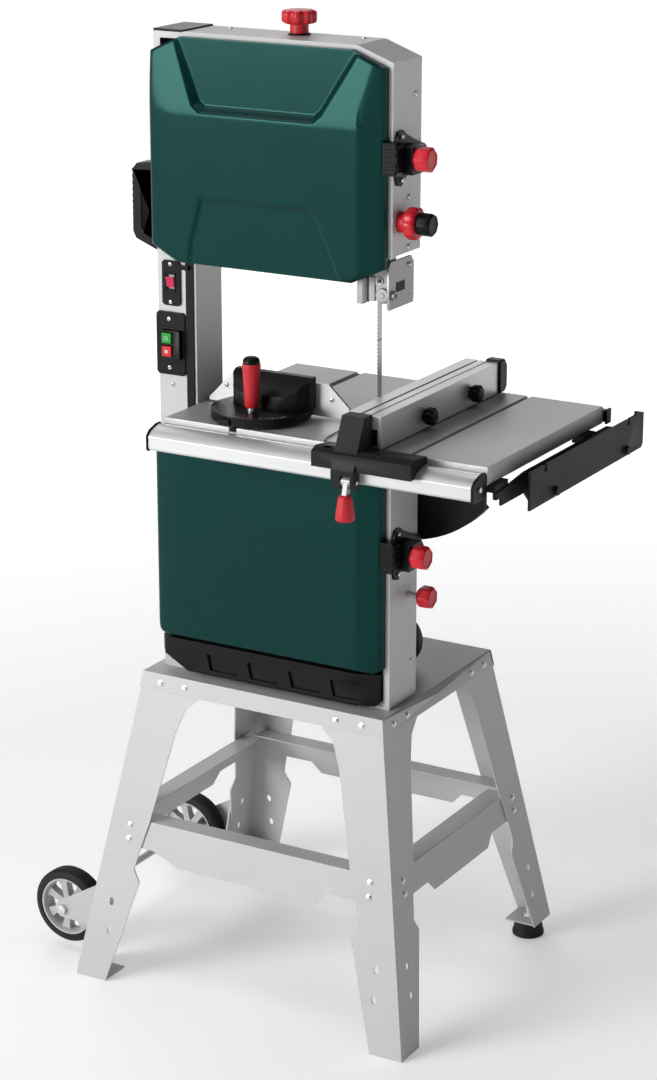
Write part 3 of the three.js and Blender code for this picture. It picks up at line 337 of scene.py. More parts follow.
# A dark cross laid onto the screw head: painted shade standing for the cross recess.
def painted_recess_shade(point, normal, r):
    top = r * 0.56
    place = facing(point, normal)
    return [moved(block(-r * w, r * w, -r * d, r * d, top * 0.8, top), place) for w, d in ((0.5, 0.13), (0.13, 0.5))]


def screws(name, body, where, r):
    heads = [s for point, normal in where for s in pan_screw(point, normal, r)]
    marks = [s for point, normal in where for s in painted_recess_shade(point, normal, r)]
    piece(name, heads, ZINC, body, smooth=50)
    piece(name + "_recess_shadow", marks, DARK_STEEL_AND_SHADE, body)


def bolts(name, body, where, r, washer=True, material=None):
    shapes = [s for point, normal in where for s in hex_bolt(point, normal, r, washer)]
    piece(name, shapes, material or ZINC, body)


# ---------------------------------------------------------------- stand
def build_stand():
    copy_node("stand_top_tray", SHADED_TRAY_PAINT, 1.3, 3)
    for node in ("leg_front_right", "leg_front_left", "leg_rear_right", "leg_rear_left"):
        copy_node(node, PAINT, 1.0, 3)
    for node in ("brace_front", "brace_rear", "brace_right", "brace_left"):
        copy_node(node, PAINT, 0.9, 2)
    front = lambda x, z: ((x, z * SPLAY_Y, z), (0, -1, SPLAY_Y))
    rear = lambda x, z: ((x, TOP_D - z * SPLAY_Y, z), (0, 1, SPLAY_Y))
    right = lambda y, z: ((-z * SPLAY_X, y, z), (1, 0, SPLAY_X))
    left = lambda y, z: ((-TOP_W + z * SPLAY_X, y, z), (-1, 0, SPLAY_X))
    top = [side(x, -15.5) for side in (front, rear) for x in (-35, -81, -358, -404)]
    top += [side(y, -15.5) for side in (right, left) for y in (31, 75, 291, 335)]
    bolts("stand_top_bolts", "frame", top, 4.2)
    inset = 2
    low = [((x, z * SPLAY_Y + inset, z), (0, -1, SPLAY_Y)) for x in (3, -442) for z in (-254, -277)]
    low += [((x, TOP_D - z * SPLAY_Y - inset, z), (0, 1, SPLAY_Y)) for x in (3, -442) for z in (-254, -277)]
    low += [((-z * SPLAY_X - inset, y, z), (1, 0, SPLAY_X)) for y in (-6, 372) for z in (-255, -277)]
    low += [((-TOP_W + z * SPLAY_X + inset, y, z), (-1, 0, SPLAY_X)) for y in (-6, 372) for z in (-255, -277)]
    bolts("brace_bolts", "frame", low, 4.2)
    for side, x in (("right", 53), ("left", -492)):
        y = TOP_D + 55
        profile = [(0, 24), (1.5, 26.5), (4, 27), (8, 26.6), (10, 25.2), (12, 25.2), (20, 23.6), (26, 22.5),
                   (28.5, 21), (29.6, 18)]
        piece(f"levelling_foot_{side}", [revolve("z", x, y, [(h - 520, r) for h, r in profile], 48)], RUBBER,
              "frame",
              smooth=50, replaces=(f"rubber_foot_{side}",))
        nut = [revolve("z", x, y, [(-487.2, 9), (-480.5, 9), (-479.5, 7.6)], 6),
               revolve("z", x, y, [(-481, 4), (-466, 4), (-465, 3)], 20)]
        piece(f"foot_nut_{side}", nut, ZINC, "frame")
    copy_node("caster_axle", PAINT, 0.5, 2)


def transport_wheel(name, y0):
    x, z, w = -585, -439, 36
    body = name.replace("caster_wheel", "caster")
    mid = y0 + w / 2
    tread = []
    outer = [(1, 50.5), (2.5, 56), (4, 61), (7, 63.2), (11, 63.8), (13, 63.9), (13.6, 62.6), (15, 62.4),
             (15.6, 63.9),
             (20.4, 63.9), (21, 62.4), (22.4, 62.6), (23, 63.9), (25, 63.8), (29, 63.2), (32, 61), (33.5, 56),
             (35, 50.5)]
    tread.append(revolve("y", x, z, [(y0 + h, r) for h, r in outer] + [(y0 + 33, 49.4), (y0 + 3, 49.4)], 96,
                         closed=True))
    piece(name + "_tyre", tread, RUBBER, body, smooth=40, replaces=(name,))
    rim = [(3, 50), (3.5, 51), (5, 51), (6, 49.6), (30, 49.6), (31, 51), (32.5, 51), (33, 50), (33, 46.5),
           (30, 45), (24, 43.5),
           (12, 43.5), (6, 45), (3, 46.5)]
    shapes = [revolve("y", x, z, [(y0 + h, r) for h, r in rim], 84, closed=True)]
    boss = [(1, 11.5), (1.5, 13), (10, 13.6), (18, 16), (26, 13.6), (34.5, 13), (35, 11.5), (35, 6.6), (1, 6.6)]
    shapes.append(revolve("y", x, z, [(y0 + h, r) for h, r in boss], 48, closed=True))
    for i in range(7):
        t = math.radians(12 - 24.4 + 7.5 + i * 360 / 7 + 8)
        out = Vector((math.cos(t), 0, math.sin(t)))
        across = Vector((-math.sin(t), 0, math.cos(t)))
        verts = []
        for r, half, thick in ((12, 6.2, 8.5), (24, 5.6, 7.5), (36, 6.6, 7), (44.5, 9.5, 7.6)):
            centre = Vector((x, mid, z)) + out * r
            for s, h in ((-1, -1), (1, -1), (1, 1), (-1, 1)):
                verts.append(tuple(centre + across * half * s + Vector((0, thick * h, 0))))
        faces = [(0, 1, 2, 3), (12, 13, 14, 15)]
        faces += [(4 * k + j, 4 * k + (j + 1) % 4, 4 * k + 4 + (j + 1) % 4, 4 * k + 4 + j) for k in range(3)
                  for j in range(4)]
        shapes.append((verts, faces))
    piece(name + "_hub", shapes, HUB, body, bevel=1.2, segments=2, smooth=40)


def build_casters():
    transport_wheel("caster_wheel_front", -30)
    transport_wheel("caster_wheel_rear", 340)
    ends = [revolve("y", -585, -439,
                    [(-43.2, 6.5), (-42.4, 8), (-36.5, 8.6), (-36, 8.6), (-36, 12), (-34.6, 12)], 40),
            revolve("y", -585, -439, [(380.6, 12), (382, 12), (382, 8.6), (388.6, 8.2), (389, 6.5)], 40)]
    piece("axle_end_caps", ends, ZINC, "frame", smooth=40)


# ---------------------------------------------------------------- pressed doors
def inside(outline, x, z):
    """Distance inside a convex outline, positive inside."""
    cx = sum(p[0] for p in outline) / len(outline)
    cz = sum(p[1] for p in outline) / len(outline)
    best = np.full(x.shape, 1e9)
    for (x0, z0), (x1, z1) in zip(outline, outline[1:] + outline[:1]):
        nx, nz = z0 - z1, x1 - x0
        length = math.hypot(nx, nz)
        if (cx - x0) * nx + (cz - z0) * nz < 0:
            nx, nz = -nx, -nz
        best = np.minimum(best, ((x - x0) * nx + (z - z0) * nz) / length)
    return best


def roll(distance, width, height):
    t = np.clip(1 - distance / width, 0, 1)
    return height * (1 - np.sqrt(1 - t * t))


def smooth_step(t):
    t = np.clip(t, 0, 1)
    return t * t * (3 - 2 * t)


def door(name, outline, dishes, low, high, knuckles, catch_z, lean=0.0):
    front, back, thick = 14.0, 42.0, 2.0
    step = 2.0
    left, right = -421.5, -18.7
    columns = np.linspace(left, right, int((right - left) / step) + 1)
    rows = np.linspace(low, high, int((high - low) / step) + 1)
    x, z = np.meshgrid(columns, rows)
    edge = inside(outline, x, z)
    tilt = lean * (z - 893) / 113
    tilt = np.where(tilt > 0, np.sqrt(np.maximum(tilt, 0) ** 2 + 0.5) - 0.7, 0)
    slope = (x + 58) * 14 / 34
    flare = np.where(slope > 0, np.sqrt(np.maximum(slope, 0) ** 2 + 1.5) - 1.2, 0) + roll(right - x, 6, 5)
    rounding = np.sqrt(roll(edge, 9, 9) ** 2 + (roll(x - left, 52, 7) + roll(x - left, 9, 5)) ** 2)
    body = np.sqrt(tilt ** 2 + rounding ** 2)
    y = front + np.maximum(flare, body) + 1.2 * np.exp(-((flare - body) / 2.2) ** 2) * (flare > 0.5) * (body > 0.5)
    for shape, level, soft in dishes:
        share = smooth_step(inside(shape, x, z) / soft + 0.5)
        y = y + np.maximum(0, front + level + np.maximum(0, z - 893) * 0.02 - y) * share
    y = np.minimum(y, 38.5)
    bm = bmesh.new()
    grid = [[bm.verts.new((x[j, i], y[j, i], z[j, i])) for i in range(len(columns))] for j in range(len(rows))]
    for j in range(len(rows) - 1):
        for i in range(len(columns) - 1):
            bm.faces.new((grid[j][i], grid[j][i + 1], grid[j + 1][i + 1], grid[j + 1][i]))
    cx = sum(p[0] for p in outline) / len(outline)
    cz = sum(p[1] for p in outline) / len(outline)
    for (x0, z0), (x1, z1) in zip(outline, outline[1:] + outline[:1]):
        normal = Vector((z1 - z0, 0, x0 - x1)).normalized()
        if normal.dot(Vector((cx - x0, 0, cz - z0))) > 0:
            normal = -normal
        parts = bm.verts[:] + bm.edges[:] + bm.faces[:]
        bmesh.ops.bisect_plane(bm, geom=parts, dist=1e-4, plane_co=(x0, 0, z0), plane_no=normal,
                               clear_outer=True)
    rim = [e for e in bm.edges if e.is_boundary]
    skirt = bmesh.ops.extrude_edge_only(bm, edges=rim)["geom"]
    for v in skirt:
        if isinstance(v, bmesh.types.BMVert):
            v.co.y = back - 0.4
    mesh = bpy.data.meshes.new(name)
    bm.to_mesh(mesh)
    bm.free()
    mesh.transform(Matrix.Translation(ORIGIN) @ Matrix.Scale(MM, 4))
    obj = bpy.data.objects.new(name, mesh)
    node = name.replace("_panel", "")
    dress(obj, GREEN, node, 0, 1, 30, 50, (node,))
    shell = obj.modifiers.new("sheet", "SOLIDIFY")
    shell.thickness = thick * MM
    shell.offset = -1
    knuckle_shapes = []
    for k in knuckles:
        knuckle_shapes += [revolve("z", -430, 47.5, [(k, 2.8), (k + 0.6, 3.2), (k + 21.4, 3.2), (k + 22, 2.8)],
                                   32),
                           block(-431, -427.5, 42.5, 47.5, k, k + 22), block(-431, -420, 40.2, 42.5, k, k + 22)]
    piece(node + "_hinge_leaves", knuckle_shapes, DARK_STEEL_AND_SHADE, node, bevel=0.5)
    c = catch_z
    catch = polygon("y", [(-18.9, c - 24), (2, c - 24), (6, c - 20), (6, c + 20), (2, c + 24), (-18.9, c + 24)],
                    22, 41.8)
    ribs = [block(-15, 4.5, 20, 24, c + h, c + h + 7) for h in (-21.5, -11, 4, 14.5)]
    piece(node + "_catch", [catch] + ribs, BLACK, node, bevel=1.2, segments=2)


def build_doors():
    outline = [(-421.5, 693), (-372, 668), (-70, 668), (-18.7, 692), (-18.7, 985), (-76, 1008), (-370, 1008),
               (-421.5, 985)]
    upper = [(-398, 1060), (-337, 912), (-326, 904), (-133, 904), (-121, 914), (-28, 1060)]
    lower = [(-354, 620), (-346, 700), (-326, 771), (-142, 771), (-127, 763), (-62, 620)]
    door("upper_door_panel", outline, [(upper, 13.5, 12.0), (lower, 3.6, 7.0)], 668, 1008, (722, 922), 856,
         13.5)
    plain = [(-421.5, 80), (-419, 70.5), (-413, 64.5), (-403, 62), (-30, 62), (-18.7, 68), (-18.7, 366),
             (-44, 390), (-421.5, 390)]
    door("lower_door_panel", plain, [], 62, 390, (102, 302), 252)


# ---------------------------------------------------------------- body
def build_body():
    copy_node("lower_housing", PAINT, 1.2, 3)
    copy_node("upper_housing", PAINT, 1.2, 3)
    copy_node("column", PAINT, 1.2, 3)
    copy_node("top_cap", BLACK, 1.0, 2)
    copy_node("band_cover_strip", BLACK, 0.6, 2)
    copy_node("dust_skirt", CAST_BLACK_AND_SHADE, 1.6, 3)
    copy_node("carry_handle", BLACK, 2.6, 4)
    grooves = [revolve("y", -478.5, z + 2.5, [(61.5, 2.4), (62.5, 3.4), (89.5, 3.4), (90.5, 2.4)], 20)
               for z in range(702, 796, 10)]
    piece("handle_ribs", grooves, BLACK, "frame", smooth=50)
    for node in ("upper_latch_bracket", "lower_latch_bracket"):
        copy_node(node, BLACK, 1.4, 3)
    for z in (852, 248):
        tag = "upper" if z > 500 else "lower"
        where = [((-6, 60, z + 32), (1, 0, 0)), ((-6, 61, z - 31), (1, 0, 0)), ((-7.7, 118, z), (1, 0, 0))]
        screws(f"{tag}_latch_screws", "frame", where, 4.2)
    side = [((-11.7, 91, 791), (1, 0, 0)), ((-11.7, 91, 717), (1, 0, 0)), ((-11.7, 110, 940), (1, 0, 0)),
            ((-11.7, 110, 60), (1, 0, 0))]
    screws("housing_side_screws", "frame", side, 4.4)
    top = [((x, 112, 1014), (0, 0, 1)) for x in (-330, -100)]
    screws("housing_top_screws", "frame", top, 4.0)
    back = [((x, 128, z), (0, 1, 0)) for x in (-404, -32) for z in (30, 360, 730, 985)]
    screws("housing_back_screws", "frame", back, 4.4)
    screws("column_screws", "frame", [((-399, 42, z), (0, -1, 0)) for z in (404, 468)], 3.6)
    build_switches()
    build_motor()
    build_band()
    copy_node("trunnion_cradle", CAST_BLACK_AND_SHADE, 1.2, 3)
    copy_node("drive_belt", RUBBER, 0.8, 1)
    copy_node("motor_pulley", CAST_ALLOY, 0.4, 1)
    copy_node("tension_carriage", CAST_IRON, 1.2, 2)
    build_band_wheels()


def build_switches():
    copy_node("lamp_switch_plate", BLACK, 1.0, 2)
    copy_node("main_switch", BLACK, 2.0, 3)
    copy_node("lamp_rocker", PINK, 0.6, 2)
    copy_node("start_button", BUTTON_GREEN, 1.2, 3)
    copy_node("stop_button", BUTTON_RED, 1.2, 3)
    screws("lamp_plate_screws", "frame", [((-398, 38, z), (0, -1, 0)) for z in (659.5, 600)], 3.4)
    screws("main_switch_screws", "frame", [((-401.5, 38, z), (0, -1, 0)) for z in (573, 496)], 3.8)
    frame_shape = []
    for x0, x1, z0, z1 in ((-408, -388, 643.5, 646), (-408, -388, 617, 619.5), (-408, -405.6, 617, 646),
                           (-390.4, -388, 617, 646)):
        frame_shape.append(block(x0, x1, 36.6, 38.4, z0, z1))
    piece("rocker_frame", frame_shape, BLACK, "frame", bevel=0.4)
    marks = [block(-402.5, -396.5, 24.7, 25.1, 521.5, 526.5)]
    ring = revolve("y", -399.5, 545, [(24.7, 3.4), (24.7, 2.5), (25.1, 2.5), (25.1, 3.4)], 28, closed=True)
    piece("stop_mark", marks, HUB, "stop_button")
    piece("start_mark", [ring], HUB, "start_button")


def build_motor():
    x, z, y = -95, 48, 128
    shell = [(0.3, 38), (0.3, 46.5), (6, 46.8), (7, 44)]
    fins = []
    for k in range(14):
        h = 8 + k * 4.6
        fins += [(h, 43.2), (h + 0.6, 46.6), (h + 2.0, 46.6), (h + 2.6, 43.2)]
    tail = [(74, 44), (75, 46.8), (79, 46.8), (82, 44.2), (97, 43.4), (102, 41), (105.4, 35), (106, 20)]
    piece("motor_shell", [revolve("y", x, z, [(y + h, r) for h, r in shell + fins + tail], 72)], CAST_BLACK_AND_SHADE,
          "frame",
          smooth=32, replaces=("motor",))
    box_shape = block(x - 30, x + 30, 152, 208, z + 40, z + 64)
    foot = [block(x - 34, x + 34, 150, 212, 0.1, 5), block(x - 26, x - 18, 152, 210, 4, 22),
            block(x + 18, x + 26, 152, 210, 4, 22)]
    piece("motor_terminal_box", [box_shape], BLACK, "frame", bevel=3.0, segments=3)
    piece("motor_feet", foot, CAST_BLACK_AND_SHADE, "frame", bevel=1.0)
    # Dark bars on the fan cover: painted shade standing for the fan slots.
    slot_shadows = [moved(block(-2, 2, 10, 30, -0.6, 0.4),
                   Matrix.Translation((x, y + 105.8, z)) @ Matrix.Rotation(math.pi / 2, 4, "X")
             @ Matrix.Rotation(i * math.pi / 6, 4, "Z")) for i in range(12)]
    piece("motor_fan_slot_shadows", slot_shadows, DARK_STEEL_AND_SHADE, "frame")
    shaft = [revolve("y", x, z, [(86, 6.2), (87, 7), (128, 7)], 32)]
    piece("motor_shaft", shaft, ZINC, "frame", smooth=40)
    corners = [((x + i * 23, 180 + j * 20, z + 64), (0, 0, 1)) for i in (-1, 1) for j in (-1, 1)]
    screws("terminal_box_screws", "frame", corners, 2.6)


def build_band():
    """The toothed band as one loop: tips face the operator."""
    radius = WHEEL_R + 0.05
    half = math.pi * radius
    straight = UPPER_Z - LOWER_Z
    length = 2 * half + 2 * straight
    count = int(round(length / 3.0 / 2)) * 2
    verts, faces = [], []
    for i in range(count):
        s = length * i / count
        tooth = 0.0 if i % 2 else 2.6
        if s < straight:
            point, out = Vector((WHEEL_X + radius, 0, LOWER_Z + s)), Vector((1, 0, 0))
        elif s < straight + half:
            t = (s - straight) / radius
            out = Vector((math.cos(t), 0, math.sin(t)))
            point = Vector((WHEEL_X, 0, UPPER_Z)) + out * radius
        elif s < 2 * straight + half:
            point, out = Vector((WHEEL_X - radius, 0, UPPER_Z - (s - straight - half))), Vector((-1, 0, 0))
        else:
            t = math.pi + (s - 2 * straight - half) / radius
            out = Vector((math.cos(t), 0, math.sin(t)))
            point = Vector((WHEEL_X, 0, LOWER_Z)) + out * radius
        for y, o in ((BAND_Y + 0.2 + tooth, 0), (BAND_Y + BAND_W, 0), (BAND_Y + BAND_W, BAND_T),
                     (BAND_Y + 0.2 + tooth, BAND_T)):
            p = point + out * o
            verts.append((p.x, y, p.z))
    for i in range(count):
        a, b = 4 * i, 4 * ((i + 1) % count)
        faces += [(a + k, a + (k + 1) % 4, b + (k + 1) % 4, b + k) for k in range(4)]
    piece("toothed_band", [(verts, faces)], BAND, "frame", smooth=30, replaces=("saw_band",))
    weld = [block(-53.5, -52.2, 72.5, 86.2, 573, 574.6)]
    piece("band_joint", weld, DARK_STEEL_AND_SHADE, "frame")


def build_band_wheels():
    for node, z, body in (("lower_band_wheel", LOWER_Z, "lower_wheel"),
                          ("upper_band_wheel", UPPER_Z, "upper_wheel")):
        copy_node(node, CAST_ALLOY, 0.9, 2)
        tyre = [(67.4, 154.5), (67.4, 156.6), (70, 157.3), (86, 157.3), (88.6, 156.6), (88.6, 154.5)]
        piece(node + "_tyre", [revolve("y", WHEEL_X, z, tyre, 120, closed=True)], RUBBER, body, smooth=40)
        hub = [(65.8, 12), (66.4, 14), (66.9, 14)] if body == "upper_wheel" else [(58.8, 8), (59.4, 10), (60.5, 11)]
        piece(node + "_hub_cap", [revolve("y", WHEEL_X, z, hub, 40)], ZINC, body, smooth=40)


# ---------------------------------------------------------------- knobs
def build_knobs():
    x, y, z0 = -203.5, 101, 1030
    grip = [(z0, 15), (z0 + 0.6, 21, 0.4), (z0 + 2, 25, 1), (z0 + 4.5, 26.5, 1), (z0 + 15, 26.5, 1),
            (z0 + 18, 25.8, 1),
            (z0 + 19.8, 23.2, 0.8), (z0 + 20.7, 19, 0.4), (z0 + 20.9, 10, 0)]
    piece("tension_knob_grip", [revolve("z", x, y, grip, 128, 8, 4.4, 1.6)], RED, "tension_knob",
          smooth=45,
          replaces=("tension_knob",))
    neck = [(1016.5, 13.2), (1017, 14), (1030.5, 14)]
    washer = [(1014.3, 16.6), (1014.3, 17), (1016, 17), (1016.6, 16)]
    piece("tension_knob_neck", [revolve("z", x, y, neck, 48)], RED, "tension_knob", smooth=40)
    piece("tension_knob_washer", [revolve("z", x, y, washer, 48)], BLACK, "tension_knob",
          smooth=40)
    screw = [(867.5, 4.5), (869, 6)]
    h = 869.0
    while h < 1012:
        screw += [(h, 6.0), (h + 0.7, 5.1), (h + 1.4, 6.0)]
        h += 2.0
    piece("tension_screw", [revolve("z", x, y, screw, 24)], ZINC, "tension_knob", smooth=25)
    cap = [(z0 + 20.7, 10), (z0 + 20.95, 9.6), (z0 + 21, 7)]
    piece("tension_knob_cap", [revolve("z", x, y, cap, 40)], RED, "tension_knob", smooth=30)
    for tag, z in (("upper", 855), ("lower", 251)):
        fluted(f"{tag}_latch_knob", 56, z, 20, 46, 19, 7, RED)
        collar = [(7, 4), (7.2, 4.2), (18.6, 4.2), (18.8, 9), (20.4, 9)]
        piece(f"{tag}_latch_spindle", [revolve("x", 56, z, collar, 32)], ZINC, f"{tag}_latch_knob",
              smooth=35)
    fluted("belt_tension_knob", 102, 172, 7, 31, 18, 7, RED)
    stub = [(-29.6, 4), (-29, 5), (6, 5), (6.2, 8.5), (7.4, 8.5)]
    piece("belt_tension_spindle", [revolve("x", 102, 172, stub, 32)], ZINC, "belt_tension_knob",
          smooth=35)
    ring = [(-11.2, 9), (-11.2, 15.4, 0), (-10.6, 15.9, 0), (1.4, 15.9, 0), (2.2, 21, 0.2), (3.4, 23.4, 0.8),
            (5.4, 24.4, 1),
            (15.4, 24.5, 1), (18, 23.6, 0.9), (19.5, 21.2, 0.5), (19.9, 18, 0), (19.9, 9)]
    piece("post_lock_ring_grip", [revolve("x", 66, 758, ring, 144, 9, 1.5, 1.2, closed=True)], RED,
          "post_lock_ring",
          smooth=45, replaces=("post_lock_ring",))
    knob = [(20.5, 14.5, 0), (21.2, 16.6, 0.6), (23, 17.5, 1), (40, 17.5, 1), (42.2, 16.6, 1),
            (43.4, 14.8, 0.8), (43.4, 12.4, 0.6),
            (42.6, 11.8, 0.5), (42.6, 5, 0)]
    piece("post_height_knob_grip", [faceted("x", 66, 758, knob, 8, 96)], BLACK, "post_height_knob",
          smooth=45, replaces=("post_height_knob",))
    shaft = [(-18.4, 6), (-17.6, 7), (20.6, 7)]
    piece("post_height_shaft", [revolve("x", 66, 758, shaft, 32)], ZINC, "post_height_knob",
          smooth=35)
    y0 = 156.3
    star = [(y0 + 6, 12), (y0 + 6.5, 20, 0.5), (y0 + 8, 23.2, 1), (y0 + 11, 24, 1), (y0 + 22, 24, 1),
            (y0 + 24.6, 22.5, 0.9),
            (y0 + 25.8, 17, 0.4), (y0 + 26, 10)]
    piece("tilt_lock_grip", [revolve("y", LOCK_X, LOCK_Z, star, 110, 5, 6.0, 1.4)], BLACK, "tilt_lock_knob",
          smooth=45,
          replaces=("tilt_lock_knob",))
    stem = [(132, 5), (132.6, 6), (y0, 6), (y0 + 0.1, 11), (y0 + 6.8, 11)]
    piece("tilt_lock_stem", [revolve("y", LOCK_X, LOCK_Z, stem, 36)], ZINC, "tilt_lock_knob",
          smooth=35)


def fluted(node, y, z, x0, x1, r, sides, material):
    grip = [(x0, r - 8, 0), (x0 + 0.4, r - 5.2, 0.3), (x0 + 3, r - 2, 0.8), (x0 + 6, r, 1), (x1 - 4, r, 1),
            (x1 - 1.4, r - 1.2, 1),
            (x1, r - 3.4, 0.9), (x1, r - 5.4, 0.8), (x1 - 1.1, r - 6.4, 0.7), (x1 - 1.1, 4, 0)]
    piece(node + "_grip", [faceted("x", y, z, grip, sides, 98, 0.35)], material, node, smooth=28,
          replaces=(node,))


# ---------------------------------------------------------------- guide
def build_guide():
    copy_node("guide_post", POST, 0.8, 2)
    copy_node("band_guide", CAST_ALLOY, 0.7, 2)
    bearing = lambda a, b, r, h0, h1, axis: [
        revolve(axis, a, b, [(h0, r * 0.93), (h0 - 0.4, r * 0.86), (h0 - 0.4, r * 0.45), (h0 - 1.2, r * 0.42),
                             (h0 - 1.2, 2)], 40)]
    shapes = bearing(-37, 650, 13, 58, 74, "y") + bearing(-68, 648, 12, 58, 74, "y")
    piece("guide_bearing_faces", shapes, ZINC, "guide", smooth=40)
    knurl = [(45.4, 6, 0), (45.4, 9.4, 0), (46.4, 11.4, 1), (54.4, 11.4, 1), (56.6, 10, 0)]
    piece("guide_adjuster_knob", [revolve("y", -31, 649, knurl, 144, 18, 1.0)], CAST_ALLOY, "guide",
          smooth=30)
    centre = [(44.4, 2.0), (44.4, 4.0), (45.0, 4.8), (46.0, 4.8)]
    piece("guide_adjuster_centre", [revolve("y", -31, 649, centre, 40)], CAST_ALLOY, "guide",
          smooth=30)
    rod = [(-33, 6.6), (-32.4, 7.2), (-13, 7.2), (-12.2, 6), (-12.2, 3.4), (-15, 3.0)]
    piece("guide_adjuster_rod", [revolve("x", 55, 649, rod, 40)], CAST_ALLOY, "guide", smooth=30)
    roller = [(634.4, 6), (635.6, 8.6), (640, 9), (668, 9), (671, 8.2), (672, 6)]
    piece("guide_roller_holder", [revolve("z", -69, 59, roller, 56)], CAST_ALLOY, "guide",
          smooth=40)
    plates = [polygon("y", [(-58.5, 637), (-48, 637), (-48, 674), (-58.5, 674)], 55, 62),
              polygon("y", [(-46, 662), (-21, 662), (-21, 690), (-34, 690), (-46, 680)], 52, 57),
              block(-45, -22, 58, 66, 634, 640),
              polygon("y", [(-47, 676), (-22, 682), (-22, 689), (-47, 684)], 49.5, 53)]
    piece("guide_front_plates", plates, CAST_ALLOY, "guide", bevel=1.0, segments=3)
    ring = [(48.6, 3.2), (48.0, 4.6), (48.0, 5.6), (49.0, 6.2), (52.6, 6.2)]
    piece("guide_nut_ring", [revolve("y", -36, 670, ring, 48)], CAST_ALLOY, "guide", smooth=30)
    piece("guide_lock_screw_head",
          [faceted("y", -36, 670, [(47.2, 2.6, 1), (47.8, 3.3, 1), (50.4, 3.4, 1)], 6, 48)], DARK_STEEL_AND_SHADE,
          "guide")
    where = [((-17.5, 58, 640), (1, 0, 0)), ((-17.5, 108, 640), (1, 0, 0))]
    screws("guide_screws", "guide", where, 2.6)
    screws("guide_clamp_screw", "guide", [((-17.5, 108, 687), (1, 0, 0))], 4.6)
    # Thin dark plates: painted shade in the gaps between the guide's parts.
    gap_shadows = [block(-17.9, -17.3, 64, 92, 652, 667), block(-43, -24, 61, 66, 656, 664),
            block(-60.5, -58.2, 56, 64, 636, 673)]
    piece("guide_gap_shadows", gap_shadows, CAST_BLACK_AND_SHADE, "guide", bevel=0.4)


# ---------------------------------------------------------------- table, fence and gauge
def build_table():
    copy_node("saw_table", TABLE, 0.9, 2)
    copy_node("table_insert", INSERT, 0.4, 1)
    copy_node("rear_rail", BLACK, 0.5, 2)
    copy_node("trunnion", CAST_BLACK_AND_SHADE, 1.4, 3)
    copy_node("side_bracket", BRACKET, 0.9, 2)
    section = [(-56, 410), (-56, 431), (-60, 435), (-64, 437), (-72, 437), (-90, 431), (-98, 424), (-98, 405),
               (-95, 402), (-62, 402)]
    piece("front_rail_extrusion", [polygon("x", section, -354, 195)], ALLOY_X, "table", bevel=1.0,
          segments=3,
          replaces=("front_rail",))
    profile = [(-56, 408), (-56, 433), (-62, 439), (-73, 439), (-92, 433), (-100, 425), (-100, 403), (-96, 400),
               (-61, 400)]
    caps = [polygon("x", profile, 195, 199.5), polygon("x", profile, -357, -354)]
    piece("front_rail_caps", caps, BLACK, "table", bevel=1.2, segments=3)
    bolts("rail_end_bolts", "table", [((199.3, -81, 418), (1, 0, 0))], 4.6, washer=False)
    bolts("side_bracket_bolts", "table", [((236.6, y, 376), (1, 0, 0)) for y in (99, 351)], 4.6)
    strips = [block(a, b, -56.05, -55.6, 430, 444.2) for a, b in ((-349.6, -237), (-221, 70), (78, 199.6))]
    piece("table_front_land", strips, ALLOY_X, "table", bevel=0.3)
    loop_wire()
    holes = [((-53 + 36 * math.cos(t), 78.5 + 36 * math.sin(t), 445.05), (0, 0, 1))
             for t in (math.pi * 0.28, math.pi * 1.28)]
    flat = [moved(revolve("z", 0, 0, [(-0.6, 3.4), (-0.1, 3.4), (0, 3.0)], 24), facing(p, n)) for p, n in holes]
    piece("insert_screws", flat, ZINC, "table")


def loop_wire():
    points = [Vector(p) for p in ((-66, -56.2, 424), (-66, -58, 436), (-68, -57, 446.5), (-73, -50, 447),
                                  (-77, -30, 446.8), (-78, 2, 446.8))]
    curve = bpy.data.curves.new("band_clearance_wire", "CURVE")
    curve.dimensions = "3D"
    curve.bevel_depth = 1.1 * MM
    curve.bevel_resolution = 3
    spline = curve.splines.new("NURBS")
    spline.points.add(len(points) - 1)
    for target, p in zip(spline.points, points):
        target.co = (*(p * MM + ORIGIN), 1)
    spline.use_endpoint_u = True
    spline.order_u = 3
    curve.materials.append(DARK_STEEL_AND_SHADE)
    obj = bpy.data.objects.new("band_clearance_wire", curve)
    bpy.context.scene.collection.objects.link(obj)
    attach(obj, "table")


